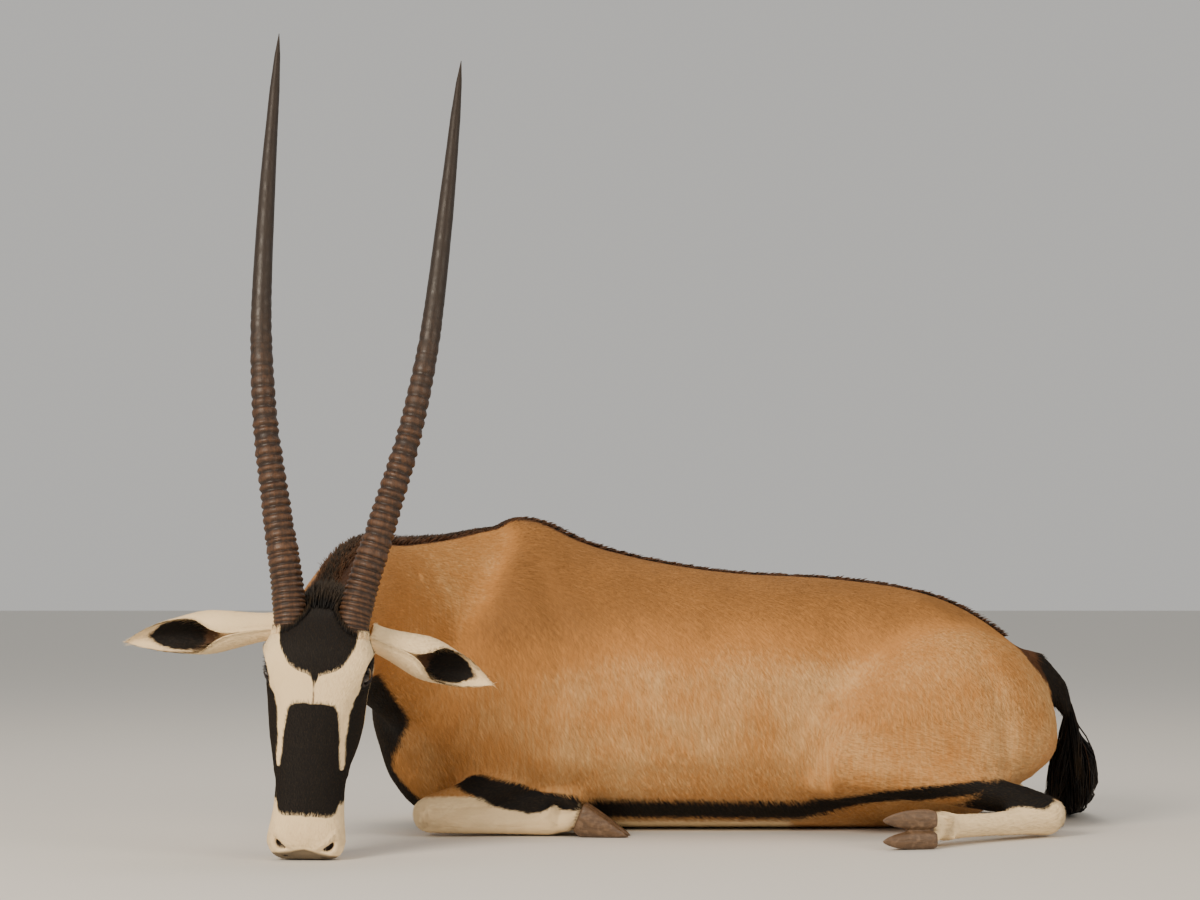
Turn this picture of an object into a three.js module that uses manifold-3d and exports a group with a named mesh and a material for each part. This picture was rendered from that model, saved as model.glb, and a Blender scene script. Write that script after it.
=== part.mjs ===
// A gemsbok lying on its chest and belly with folded legs, head turned to its left and chin on the ground.
// Millimetres, +Z up. X runs from the chest to the rump and Y from the animal's left side to its right.
import * as THREE from "three";
import { mergeVertices } from "three/addons/utils/BufferGeometryUtils.js";
import Module from "manifold-3d";

const wasm = await Module();
wasm.setup();

// Sizes that every part shares
const GAP = 0.35;
const MERGE_DISTANCE = 0.0001;
const FAR = 4000;
const LEFT = -1;
const RIGHT = 1;
const SIDES = { left: LEFT, right: RIGHT };
const UP = new THREE.Vector3(0, 0, 1);

// Trunk sections from chest to rump: x, top, bottom, half width, height of the widest place
const TRUNK = [
  [-405, 262, 178, 38, 215],
  [-385, 326, 104, 84, 205],
  [-345, 392, 40, 130, 190],
  [-270, 472, 0, 182, 175],
  [-160, 548, -6, 210, 172],
  [-60, 512, -6, 222, 185],
  [60, 477, -6, 230, 198],
  [220, 450, -6, 234, 200],
  [400, 440, -6, 224, 190],
  [540, 421, -6, 194, 190],
  [640, 388, 6, 168, 205],
  [720, 334, 45, 138, 215],
  [768, 284, 95, 92, 205],
  [792, 236, 140, 44, 190],
];
const TRUNK_SECTIONS = 25;
const TRUNK_SIDES = 24;

// How square the trunk is: keeled under the chest, flat under the belly, sharp at the withers, wide behind
const BELLY_POWER = { chest: 1.8, belly: 2.5, chestEnd: -360, bellyStart: -40 };
const RIDGE_POWER = {
  usual: 2.1,
  withers: { x: -160, reach: 150, by: -0.3 },
  croup: { x: 690, reach: 120, by: 0.5 },
};

// Bones and muscles of the trunk, alike on both sides: x, y, z, reach along each, height of the swelling
const TRUNK_SWELLS = [
  [-175, 190, 340, 90, 80, 150, 20],
  [-320, 125, 215, 60, 70, 60, 14],
  [-60, 190, 150, 80, 70, 70, 10],
  [150, 240, 200, 150, 80, 110, 8],
  [415, 200, 345, 75, 90, 45, -12],
  [585, 120, 395, 45, 60, 35, 12],
];

// Neck sections from the shoulders to the back of the head: x, y, z, half height, half width
const NECK = [
  [-150, 10, 300, 232, 148],
  [-258, -48, 322, 200, 136],
  [-345, -150, 352, 153, 107],
  [-398, -270, 376, 121, 88],
  [-425, -385, 355, 107, 78],
  [-436, -475, 321, 98, 72],
  [-434, -548, 318, 84, 62],
];
const NECK_SIDES = 18;
const NECK_ROOT_CUT = { point: [-290, -60, 370], normal: [-0.62, -0.45, 0.62] };
const NECK_MIDDLE_CUT = { point: [-376, -212, 372], normal: [-0.38, -0.91, 0.14] };

// Haunch sections from stifle to buttock: x, height and half height, distance from the middle and half width
const HAUNCH = [
  [335, 130, 40, 180, 30],
  [370, 136, 74, 188, 56],
  [430, 155, 102, 185, 80],
  [510, 187, 133, 166, 97],
  [600, 205, 152, 147, 106],
  [680, 204, 140, 126, 104],
  [740, 193, 104, 108, 87],
  [778, 184, 66, 94, 58],
  [800, 176, 30, 84, 26],
];
const HAUNCH_SECTIONS = 12;
const HAUNCH_SIDES = 14;
const HAUNCH_POWERS = { upperPower: 2.1, lowerPower: 2.8 };

// Limbs as sections from top to foot: x, distance from the middle, z, half height, half width
const FOREARM = [
  [-30, 137, 136, 60, 46],
  [-115, 162, 96, 50, 41],
  [-205, 193, 60, 38, 36],
  [-272, 214, 39, 37, 34],
  [-292, 218, 36, 33, 33],
];
const FORE_CANNON = [
  [-290, 218, 32, 28, 29],
  [-235, 214, 24, 22, 23],
  [-160, 211, 21, 20, 21],
  [-105, 211, 22, 22, 23],
  [-84, 212, 24, 25, 25],
];
const GASKIN = [
  [392, 232, 128, 58, 48],
  [480, 236, 114, 50, 45],
  [590, 232, 90, 38, 38],
  [690, 226, 66, 30, 30],
  [750, 224, 37, 37, 28],
  [766, 224, 32, 33, 26],
];
const HIND_CANNON = [
  [757, 224, 32, 33, 27],
  [715, 256, 29, 25, 23],
  [650, 305, 28, 21, 21],
  [590, 350, 29, 22, 22],
  [560, 373, 31, 27, 26],
];
const LIMB_SIDES = 10;
const END_DEGREES = [38, 72];
const END_REACH = 0.8;
const FAR_HIND_TUCK = 0.86;

// A foot in its own place: x along the pastern, y to its side, z to its front
const PASTERN = [
  [-8, 0, 0, 25, 24],
  [18, 0, -1, 21, 23],
  [36, 0, -2, 19, 24],
];
const DIGIT = [
  [14, 9, -1, 17, 12],
  [38, 15, -4, 18, 14],
  [66, 17, -16, 18, 14],
];
const DEWCLAW = [
  [0, 12, -12, 9, 9],
  [5, 17, -28, 8, 8],
  [14, 19, -37, 4, 4],
];
const CORONET = { point: [44, 0, 0], normal: [0.93, 0, 0.37] };
const FOOT_SIDES = 7;
const DEWCLAW_SIDES = 5;

// One claw of a hoof, from heel to toe: x, sole, top, half width
const CLAW = [
  [-16, -30, 4, 12],
  [-2, -36, 17, 15.6],
  [22, -37, 18, 16.4],
  [46, -37, 3, 15.6],
  [68, -36.5, -13, 12],
  [84, -36, -24, 7.5],
  [93, -35, -30, 3],
];
const CLAW_PLACE = { x: 42, y: 16.8, z: -4, turn: 35 };
const CLAW_SIDES = 8;
const CLAW_WIDEST = 0.35;
const CLAW_POWERS = { upperPower: 2, lowerPower: 4 };

// Where each foot begins, the way its pastern runs and the way its front faces, with y away from the middle
const FORE_FOOT = { fetlock: [-84, 212, 24], along: [0.985, 0.1, -0.02], front: [0, 0, -1] };
const HIND_FOOT = { fetlock: [560, 373, 31], along: [-0.67, 0.745, 0], front: [-0.745, -0.67, 0] };

// Head sections above the muzzle's tip: z, reach to the front and back, half width, where it is widest,
// and how square its front and its throat are
const HEAD = [
  [-2, -22, 32, 34, -8, 2.2, 2],
  [8, -4, 52, 53, -18, 2.4, 2],
  [25, 9, 62, 60, -20, 2.5, 2],
  [50, 16, 66, 60, -22, 2.5, 2],
  [90, 23, 74, 58, -24, 2.6, 1.9],
  [145, 31, 94, 61, -26, 2.7, 1.8],
  [205, 40, 124, 70, -28, 2.7, 1.8],
  [245, 47, 142, 75, -14, 2.8, 1.8],
  [276, 52, 147, 82, 8, 2.9, 1.8],
  [300, 55, 147, 86, 22, 3, 1.8],
  [325, 55, 144, 85, 20, 3, 1.8],
  [355, 46, 133, 77, 2, 2.6, 2],
  [385, 26, 116, 64, -24, 2.3, 2.2],
  [405, 0, 92, 46, -40, 2.1, 2.2],
  [414, -24, 68, 24, -46, 2, 2],
];
const HEAD_SECTIONS = 28;
const HEAD_SIDES = 22;
const HEAD_PLACE = { x: -458, y: -620, z: -3, roll: 3.8, tilt: -4 };

// Bones, muscles and hollows of the head, alike on both sides: x, y, z, reach along each, height
const HEAD_SWELLS = [
  [82, -26, 322, 22, 26, 16, 5],
  [90, 16, 304, 24, 16, 24, 4],
  [66, -16, 262, 18, 20, 20, -4],
  [66, 12, 226, 22, 14, 60, 4],
  [62, 78, 222, 34, 48, 56, 7],
  [52, 34, 120, 24, 26, 40, -5],
  [36, -10, 34, 22, 18, 22, 5],
  [52, 8, 34, 20, 20, 22, 4],
  [22, 62, 20, 26, 20, 22, 4],
  [40, 84, 112, 26, 22, 40, -5],
];

// Eyes, lids, nostrils and the line of the mouth, in the head's own place
const EYE_RADIUS = 19.5;
const EYE_CENTRE = [71, -10, 296];
const EYE_LOOKS = [0.93, -0.36, 0.04];
const EYE_SIDES = 12;
const LID_RADIUS = 24;
const LID_SINK = 1.5;
const LID_SIDES = 14;
const LID_OPENING = { halfLength: 18.5, halfHeight: 12.5, lean: 24, power: 1.3, from: 7, to: 48, sides: 16 };
const NOSTRIL = { centre: [39, -12, 25], halfLength: 11, halfWidth: 4.6, depth: 8, lean: 40, sides: [10, 8] };
const MOUTH_LINE = [
  [4, 6],
  [20, 16],
  [44, 25],
  [68, 31],
  [84, 33],
];
const MOUTH_GROOVE = { radius: 2.6, cornerShare: 0.4, sides: 6 };

// Horns: half the distance between their axes and their radius, each by the length from the root
const HORN_ROOT = { y: -10, z: 352, sunk: 22 };
const HORN_SPREAD = [
  [-22, 46],
  [45, 53],
  [172, 80],
  [332, 114],
  [495, 135],
  [715, 145],
  [988, 151],
];
const HORN_RADIUS = [
  [-22, 25.5],
  [45, 25.8],
  [170, 22.8],
  [332, 19.4],
  [495, 16.6],
  [715, 13.2],
  [888, 8.4],
  [950, 5],
  [988, 1],
];
const HORN_LENGTH = 988;
const HORN_RISE = { right: 0.998, left: 0.972 };
const HORN_LEAN = { straight: 70, curved: 60, sideways: -7 };
const HORN_RINGS = { count: 28, first: 10, spacing: 11.5, growth: 0.3, crest: 1.8, groove: 1.4, fading: 8 };
const GROOVE_SHARE = 0.55;
const HORN_SMOOTH_SECTIONS = 9;
const HORN_SIDES = 8;

// Ears as curled sheets: share of the length, radius of the curl, and how far round it reaches in degrees
const EAR = [
  [0, 20, 158],
  [0.12, 21, 158],
  [0.24, 25, 155],
  [0.36, 31, 150],
  [0.45, 34, 140],
  [0.54, 34, 118],
  [0.66, 30, 98],
  [0.78, 25, 84],
  [0.9, 17, 68],
  [1, 4, 50],
];
const EAR_SHEET = 4;
const EAR_SHEET_SHARE = 0.4;
const EAR_SECTIONS = 11;
const EAR_SPANS = 7;
const EARS = {
  right: { root: [-66, 50, 366], tip: [-311, 60, 324], opens: [0.03, -0.96, -0.27], bow: 8 },
  left: { root: [70, 48, 358], tip: [266, 96, 297], opens: [0.1, -0.97, -0.12], bow: 9 },
};

// Tail sections from the rump to the ground: x, y, z, half height, half width
const TAIL = [
  [722, 0, 298, 24, 25],
  [775, 2, 290, 21, 23],
  [815, 8, 246, 19, 21],
  [834, 20, 182, 18, 19],
  [841, 45, 116, 16, 17],
  [842, 95, 62, 14, 15],
  [840, 160, 36, 11, 12],
  [836, 215, 28, 8, 9],
];
const TAIL_SIDES = 8;
const TAIL_HINT = new THREE.Vector3(1, 0, 1);
const TAIL_CUT = { point: [832, 18, 192], normal: [0.2, 0.2, -0.96] };

// Mane: a low core along the crest and two rows of upright locks that lean back over one another
const MANE_CORE = { height: 10, halfWidth: 17, sides: 6, end: 0.01 };
const MANE_LOCKS = {
  count: 12,
  first: 0.09,
  last: 0.985,
  aside: 7,
  sunk: 12,
  tuck: 2,
  height: 32,
  sweep: 30,
  splay: 7,
  halfWidth: 25,
  thickness: 3,
  twist: 16,
};

// A mane lock above its root, as shares of its height, sweep and splay, and where the mane is at full height
const MANE_LOCK_BEND = [
  [0.35, 0.12, 0.6],
  [0.8, 0.45, 1],
  [1, 1, 0.7],
];
const MANE_FULL = { from: -0.35, to: 0.5 };

// Tail tuft: its outer shape as x, y, z, half height, half width, the share of it that is core, and its locks
const TUFT = [
  [836, 18, 196, 22, 22],
  [845, 40, 128, 42, 42],
  [852, 90, 66, 46, 46],
  [858, 170, 44, 42, 44],
  [862, 260, 30, 28, 36],
  [858, 350, 16, 14, 20],
  [850, 405, 8, 4, 6],
];
const TUFT_CORE = 0.45;
const TUFT_LOCKS = {
  tiers: 3,
  around: 5,
  first: 0.3,
  step: 0.2,
  reach: 0.5,
  halfWidth: 23,
  thickness: 3.5,
  floor: 5,
  rootDepth: 0.27,
  tipDepth: 0.92,
  opening: 1.6,
  spin: 0.25,
};
const TUFT_LOCK_SHARES = [0, 0.3, 0.65, 1];

// Locks: width along a lock as a share of its widest place, and how far each may differ from the next
const LOCK_SIDES = 3;
const LOCK_WIDTHS = [
  [0, 0.75],
  [0.35, 1],
  [0.7, 0.7],
  [1, 0.05],
];
const LOCK_VARIETY = 0.3;

const finish = (color, roughness) => new THREE.MeshStandardMaterial({ color, roughness, metalness: 0 });
const COAT = finish(0xb98a5a, 0.85);
const FACE = finish(0xe6dccb, 0.85);
const DARK_HAIR = finish(0x2a1c14, 0.8);
const PALE_HAIR = finish(0xd8cbb4, 0.85);
const HORN = finish(0x4a3a2c, 0.5);
const HOOF = finish(0x2b2622, 0.45);
const EYE = finish(0x120c08, 0.1);

const point = (values) => new THREE.Vector3(...values);
const radians = (degrees) => THREE.MathUtils.degToRad(degrees);
const signedPower = (value, power) => Math.sign(value) * Math.abs(value) ** power;

// The row of a table at a place given in its first column, on smooth curves through the rows
function rowAt(rows, place) {
  const last = rows.length - 1;
  let low = 0;
  while (low < last - 1 && place > rows[low + 1][0]) low += 1;
  const span = rows[low + 1][0] - rows[low][0];
  const t = THREE.MathUtils.clamp((place - rows[low][0]) / span, 0, 1);
  const slope = (index, column) => {
    const before = rows[Math.max(index - 1, 0)];
    const after = rows[Math.min(index + 1, last)];
    return (after[column] - before[column]) / (after[0] - before[0]);
  };
  return rows[low].map((value, column) => {
    const start = slope(low, column) * span;
    const end = slope(low + 1, column) * span;
    const rise = rows[low + 1][column] - value;
    return value + t * (start + t * (3 * rise - 2 * start - end + t * (start + end - 2 * rise)));
  });
}

// Places from start to end, closer together near both ends
function spread(start, end, count) {
  return Array.from({ length: count }, (_, index) => {
    const t = index / (count - 1);
    const eased = (t + 0.5 - 0.5 * Math.cos(Math.PI * t)) / 2;
    return start + (end - start) * eased;
  });
}

// A closed outline, rounder or squarer above and below its widest place
function outline(sides, section, toPoint) {
  return Array.from({ length: sides }, (_, index) => {
    const angle = (2 * Math.PI * index) / sides;
    const above = Math.sin(angle) >= 0;
    const power = 2 / (above ? section.upperPower : section.lowerPower);
    const across = section.half * signedPower(Math.cos(angle), power);
    const rise = signedPower(Math.sin(angle), power) * (above ? section.above : section.below);
    return toPoint(across, rise);
  });
}

const round = (half, above) => ({ half, above, below: above, upperPower: 2, lowerPower: 2 });

// Pushes a point out from a centre by the swellings near it, which are alike on both sides of the middle
function swollen(at, centre, swells, middleAxis) {
  const out = at.clone().sub(centre);
  out.normalize();
  let push = 0;
  for (const [x, y, z, reachX, reachY, reachZ, height] of swells) {
    const mirrorX = middleAxis === "x" ? Math.abs(at.x) : at.x;
    const mirrorY = middleAxis === "y" ? Math.abs(at.y) : at.y;
    const away = ((mirrorX - x) / reachX) ** 2 + ((mirrorY - y) / reachY) ** 2 + ((at.z - z) / reachZ) ** 2;
    push += height * Math.exp(-away);
  }
  return at.clone().addScaledVector(out, push);
}

// A number from 0 to 1 that is always the same for the same seed
function varied(seed) {
  const value = Math.sin(seed * 12.9898) * 43758.5453;
  return value - Math.floor(value);
}

function signedVolume(positions, faces) {
  let six = 0;
  for (let index = 0; index < faces.length; index += 3) {
    const [a, b, c] = [0, 1, 2].map((corner) => positions[faces[index + corner]]);
    six += a.dot(b.clone().cross(c));
  }
  return six / 6;
}

// A closed geometry from points and faces, turned so that its faces point outwards
function closed(positions, faces) {
  const turned = signedVolume(positions, faces) < 0 ? faces.slice().reverse() : faces;
  const geometry = new THREE.BufferGeometry().setFromPoints(positions);
  geometry.setIndex(turned);
  return geometry;
}

// A skin over a row of closed outlines. Its ends are fans round a middle point, or strips on a curled sheet.
function loft(outlines, stripEnds = false) {
  const sides = outlines[0].length;
  const positions = outlines.flat();
  const faces = [];
  for (let start = 0; start + sides < positions.length; start += sides) {
    for (let side = 0; side < sides; side += 1) {
      const next = (side + 1) % sides;
      const [a, b, c, d] = [start + side, start + next, start + sides + next, start + sides + side];
      faces.push(a, b, c, a, c, d);
    }
  }
  const closeWithFan = (start, turned) => {
    const ring = positions.slice(start, start + sides);
    const middle = ring.reduce((sum, each) => sum.add(each), point([0, 0, 0])).divideScalar(sides);
    positions.push(middle);
    const hub = positions.length - 1;
    for (let side = 0; side < sides; side += 1) {
      const pair = [start + side, start + ((side + 1) % sides)];
      faces.push(hub, ...(turned ? pair.reverse() : pair));
    }
  };
  const closeWithStrip = (start, turned) => {
    for (let side = 0; side < sides / 2 - 1; side += 1) {
      const [a, b, c, d] = [side, side + 1, sides - 2 - side, sides - 1 - side].map((each) => start + each);
      faces.push(...(turned ? [a, b, c, a, c, d] : [a, c, b, a, d, c]));
    }
  };
  const close = stripEnds ? closeWithStrip : closeWithFan;
  const lastStart = sides * (outlines.length - 1);
  close(0, !stripEnds);
  close(lastStart, stripEnds);
  return closed(positions, faces);
}

// The directions across and up at one station of a tube, whose upper side faces the hint
function facingAt(stations, index, hint) {
  const before = stations[Math.max(index - 1, 0)].centre;
  const after = stations[Math.min(index + 1, stations.length - 1)].centre;
  const along = after.clone().sub(before).normalize();
  const side = along.clone().cross(hint).normalize();
  return { side, up: side.clone().cross(along) };
}

// A tube through stations, each with a centre and a section
function tube(stations, sides, hint = UP) {
  const outlines = stations.map((station, index) => {
    const { side, up } = facingAt(stations, index, hint);
    return outline(sides, station.section, (across, rise) =>
      station.centre.clone().addScaledVector(side, across).addScaledVector(up, rise),
    );
  });
  return loft(outlines);
}

// Rounds off a tube by a few smaller stations beyond its last one
function roundedEnd(stations) {
  const [neighbour, end] = stations.slice(-2);
  const outward = end.centre.clone().sub(neighbour.centre).normalize();
  const reach = END_REACH * Math.min(end.section.half, end.section.above);
  return END_DEGREES.map((degrees) => {
    const shrink = Math.cos(radians(degrees));
    const { half, above, below, upperPower, lowerPower } = end.section;
    return {
      centre: end.centre.clone().addScaledVector(outward, reach * Math.sin(radians(degrees))),
      section: { half: half * shrink, above: above * shrink, below: below * shrink, upperPower, lowerPower },
    };
  });
}

// Stations through a limb's rows, on one smooth curve, with y counted from the middle to the given side
function limbStations(rows, side, perSpan = 1, powers = [2, 2]) {
  const curve = new THREE.CatmullRomCurve3(rows.map(([x, y, z]) => point([x, side * y, z])));
  const indexed = rows.map(([, , , above, half], index) => [index, above, half]);
  const count = (rows.length - 1) * perSpan;
  return Array.from({ length: count + 1 }, (_, step) => {
    const [, above, half] = rowAt(indexed, step / perSpan);
    const [upperPower, lowerPower] = powers;
    const section = { half, above, below: above, upperPower, lowerPower };
    return { centre: curve.getPoint(step / count), section };
  });
}

function limb(rows, side, { sides = LIMB_SIDES, hint = UP, roundEnd = false } = {}) {
  const stations = limbStations(rows, side);
  return tube([...stations, ...(roundEnd ? roundedEnd(stations) : [])], sides, hint);
}

// A closed geometry as a solid that can be joined and cut
function solid(geometry) {
  const bare = new THREE.BufferGeometry();
  bare.setAttribute("position", geometry.getAttribute("position"));
  bare.setIndex(geometry.index);
  const merged = mergeVertices(bare, MERGE_DISTANCE);
  const triVerts = new Uint32Array(merged.index.array);
  return new wasm.Manifold(
    new wasm.Mesh({ numProp: 3, vertProperties: merged.attributes.position.array, triVerts }),
  );
}

function geometryOf(body) {
  const { vertProperties, triVerts } = body.getMesh();
  const geometry = new THREE.BufferGeometry();
  geometry.setAttribute("position", new THREE.BufferAttribute(new Float32Array(vertProperties), 3));
  geometry.setIndex(new THREE.BufferAttribute(new Uint32Array(triVerts), 1));
  return geometry;
}

const joined = (bodies) => bodies.reduce((whole, body) => whole.add(body));
const largest = (body) =>
  body.decompose().reduce((best, piece) => (piece.volume() > best.volume() ? piece : best));

// The same solid with every face moved out by the gap that touching parts keep
function grown(body) {
  const geometry = geometryOf(body);
  geometry.computeVertexNormals();
  const positions = geometry.getAttribute("position");
  const normals = geometry.getAttribute("normal");
  for (let index = 0; index < positions.count; index += 1) {
    const moved = new THREE.Vector3().fromBufferAttribute(positions, index);
    moved.addScaledVector(new THREE.Vector3().fromBufferAttribute(normals, index), GAP);
    positions.setXYZ(index, ...moved.toArray());
  }
  geometry.deleteAttribute("normal");
  return solid(geometry);
}

const cutClear = (body, neighbours) =>
  largest(neighbours.reduce((left, neighbour) => left.subtract(grown(neighbour)), body));

const moved = (body, matrix) => solid(geometryOf(body).applyMatrix4(matrix));

// A block that fills the space beyond a plane, on the side its normal points to
function beyond(cut, setBack = 0) {
  const normal = point(cut.normal).normalize();
  const block = new THREE.BoxGeometry(FAR, FAR, FAR).translate(0, 0, FAR / 2 + setBack);
  const turn = new THREE.Quaternion().setFromUnitVectors(UP, normal);
  return solid(block.applyQuaternion(turn).translate(...cut.point));
}

// Parts a solid along a plane into what lies beyond it and what lies before it, with the gap between them
function parted(body, cut) {
  return {
    beyond: largest(body.intersect(beyond(cut, GAP / 2))),
    before: largest(body.subtract(beyond(cut, -GAP / 2))),
  };
}

const GROUND = beyond({ point: [0, 0, 0], normal: [0, 0, -1] });
const aboveGround = (body) => body.subtract(GROUND);

// A flat lock of hair along a row of points, pointed at its tip, with its flat side to the facing
function lock(centres, halfWidth, thickness, facing) {
  const stations = centres.map((centre, index) => {
    const [, share] = rowAt(LOCK_WIDTHS, index / (centres.length - 1));
    return { centre, section: round(halfWidth * share, thickness * Math.sqrt(share)) };
  });
  return solid(tube(stations, LOCK_SIDES, facing));
}

// Trunk
function trunk() {
  const first = TRUNK[0][0];
  const last = TRUNK[TRUNK.length - 1][0];
  const { chest, belly, chestEnd, bellyStart } = BELLY_POWER;
  const flat = (x) => THREE.MathUtils.smoothstep(x, chestEnd, bellyStart);
  const bellyPower = (x) => THREE.MathUtils.lerp(chest, belly, flat(x));
  const hump = (x, place) => place.by * Math.exp(-(((x - place.x) / place.reach) ** 2));
  const { usual, withers, croup } = RIDGE_POWER;
  const ridgePower = (x) => usual + hump(x, withers) + hump(x, croup);
  const outlines = spread(first, last, TRUNK_SECTIONS).map((x) => {
    const [, top, bottom, half, wide] = rowAt(TRUNK, x);
    const centre = point([x, 0, wide]);
    const section = {
      half,
      above: top - wide,
      below: wide - bottom,
      upperPower: ridgePower(x),
      lowerPower: bellyPower(x),
    };
    return outline(TRUNK_SIDES, section, (across, rise) =>
      swollen(point([x, across, wide + rise]), centre, TRUNK_SWELLS, "y"),
    );
  });
  return solid(loft(outlines));
}

// Neck
const NECK_POWERS = [1.8, 2.1];
const neckStations = () => limbStations(NECK, 1, 2, NECK_POWERS);

function neck() {
  return solid(tube(neckStations(), NECK_SIDES));
}

// The line along the top of the neck, from the shoulders to the poll
function crestStations() {
  const stations = neckStations();
  const crest = stations.map(({ centre, section }, index) => {
    const { up } = facingAt(stations, index, UP);
    return centre.clone().addScaledVector(up, section.above);
  });
  return crest.slice(1, -1);
}

function maneCore() {
  const crest = crestStations();
  const stations = crest.map((centre, index) => {
    const share = index / (crest.length - 1);
    const height = MANE_CORE.height * Math.sqrt(Math.sin(Math.PI * Math.min(1, MANE_CORE.end + share)));
    return { centre, section: round(MANE_CORE.halfWidth, height) };
  });
  return solid(tube(stations, MANE_CORE.sides));
}

// One lock of the mane on the given side of the crest, which rises and then sweeps back
function maneLock(crest, share, side, seed) {
  const { aside, sunk, tuck, height, sweep, splay, halfWidth, thickness, twist } = MANE_LOCKS;
  const back = crest.getTangent(share).negate();
  const outward = back.clone().cross(UP).normalize().multiplyScalar(side);
  const vary = (part) => 1 + LOCK_VARIETY * (varied(seed + part) - 0.5);
  const root = crest.getPoint(share).addScaledVector(outward, aside);
  const full = THREE.MathUtils.smoothstep(share, MANE_FULL.from, MANE_FULL.to);
  const sizes = [height * full * vary(1), sweep * vary(2), splay * vary(3)];
  const bend = MANE_LOCK_BEND.map((shares) => shares.map((each, index) => each * sizes[index]));
  const centres = [[-sunk, 0, -tuck], ...bend].map(([up, backwards, out]) =>
    root.clone().addScaledVector(UP, up).addScaledVector(back, backwards).addScaledVector(outward, out),
  );
  const facing = outward.clone().applyAxisAngle(UP, side * radians(twist));
  return lock(centres, halfWidth * vary(4), thickness, facing);
}

function maneLocks() {
  const crest = new THREE.CatmullRomCurve3(crestStations());
  const { count, first, last } = MANE_LOCKS;
  const locks = [];
  for (let index = 0; index < count; index += 1) {
    for (const side of [LEFT, RIGHT]) {
      const share = first + ((last - first) * (index + (side === LEFT ? 0 : 0.5))) / count;
      locks.push(maneLock(crest, share, side, 7 * index + side));
    }
  }
  return joined(locks);
}

// Hind and fore legs, each with its pastern and dewclaws
function haunch(side) {
  const first = HAUNCH[0][0];
  const last = HAUNCH[HAUNCH.length - 1][0];
  const outlines = spread(first, last, HAUNCH_SECTIONS).map((x) => {
    const [, height, above, distance, half] = rowAt(HAUNCH, x);
    const section = { half, above, below: above, ...HAUNCH_POWERS };
    return outline(HAUNCH_SIDES, section, (across, rise) =>
      point([x, side * (distance + across), height + rise]),
    );
  });
  return solid(loft(outlines));
}

function footMatrix(foot, side, tuck = 1) {
  const mirrored = ([x, y, z]) => point([x, side * tuck * y, z]);
  const along = mirrored(foot.along).normalize();
  const across = mirrored(foot.front).cross(along).normalize();
  const front = along.clone().cross(across);
  return new THREE.Matrix4().makeBasis(along, across, front).setPosition(mirrored(foot.fetlock));
}

// The pastern, two digits that end at the coronet, and two dewclaws
function footFlesh() {
  const flesh = [solid(limb(PASTERN, 1, { sides: FOOT_SIDES }))];
  for (const side of [LEFT, RIGHT]) {
    const digit = solid(limb(DIGIT, side, { sides: FOOT_SIDES }));
    flesh.push(digit.subtract(beyond(CORONET, -GAP / 2)));
    flesh.push(solid(limb(DEWCLAW, side, { sides: DEWCLAW_SIDES, hint: point([1, 0, 0]) })));
  }
  return joined(flesh);
}

function claw(side) {
  const outlines = CLAW.map(([x, sole, top, half]) => {
    const wide = sole + (top - sole) * CLAW_WIDEST;
    const section = { half, above: top - wide, below: wide - sole, ...CLAW_POWERS };
    return outline(CLAW_SIDES, section, (across, rise) => point([x, across, wide + rise]));
  });
  const { x, y, z, turn } = CLAW_PLACE;
  const whole = solid(loft(outlines).rotateY(-radians(turn)).translate(x, side * y, z));
  return whole.intersect(beyond(CORONET, GAP / 2));
}

function foreLeg(side, torso) {
  const forearm = solid(limb(FOREARM, side, { roundEnd: true }));
  const cannon = solid(limb(FORE_CANNON, side, { roundEnd: true }));
  const foot = moved(footFlesh(), footMatrix(FORE_FOOT, side));
  return cutClear(aboveGround(joined([forearm, cannon, foot])), [torso]);
}

const hindTuck = (side) => (side === LEFT ? 1 : FAR_HIND_TUCK);

function hindLeg(side, torso) {
  const hock = HIND_CANNON[0][1];
  const tucked = HIND_CANNON.map(([x, y, z, above, half]) => {
    return [x, hock + (y - hock) * hindTuck(side), z, above, half];
  });
  const gaskin = solid(limb(GASKIN, side, { roundEnd: true }));
  const cannon = solid(limb(tucked, side, { roundEnd: true }));
  const foot = moved(footFlesh(), footMatrix(hindFoot(side), side));
  return cutClear(aboveGround(joined([haunch(side), gaskin, cannon, foot])), [torso]);
}

function hindFoot(side) {
  const hock = HIND_CANNON[0][1];
  const [x, y, z] = HIND_FOOT.fetlock;
  return { ...HIND_FOOT, fetlock: [x, hock + (y - hock) * hindTuck(side), z] };
}

const hoofClaw = (foot, side, clawSide) =>
  largest(aboveGround(moved(claw(clawSide), footMatrix(foot, side))));

// Head
function headOutline(z) {
  const [, front, back, half, wide, upperPower, lowerPower] = rowAt(HEAD, z);
  const section = { half, above: front - wide, below: wide + back, upperPower, lowerPower };
  const centre = point([0, -wide, z]);
  return outline(HEAD_SIDES, section, (across, rise) =>
    swollen(point([across, -wide - rise, z]), centre, HEAD_SWELLS, "x"),
  );
}

// Half the head's width at a height and a distance behind the muzzle's front
function headHalfWidth(z, y) {
  const [, front, back, half, wide, upperPower, lowerPower] = rowAt(HEAD, z);
  const rise = -y - wide;
  const power = rise >= 0 ? upperPower : lowerPower;
  const share = Math.abs(rise) / (rise >= 0 ? front - wide : wide + back);
  return half * Math.max(0, 1 - share ** power) ** (1 / power);
}

const mirroredX = ([x, y, z], side) => point([side * x, y, z]);

// A frame with z along the given direction and x towards the head's front, leant round it
function featureMatrix(centre, direction, lean) {
  const z = direction.clone().normalize();
  const x = UP.clone().cross(z).normalize();
  const y = z.clone().cross(x);
  const frame = new THREE.Matrix4().makeBasis(x, y, z);
  frame.multiply(new THREE.Matrix4().makeRotationZ(radians(lean)));
  return frame.setPosition(centre);
}

const eyeBall = (radius, segments) => new THREE.SphereGeometry(radius, segments, Math.round(segments * 0.7));

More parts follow.
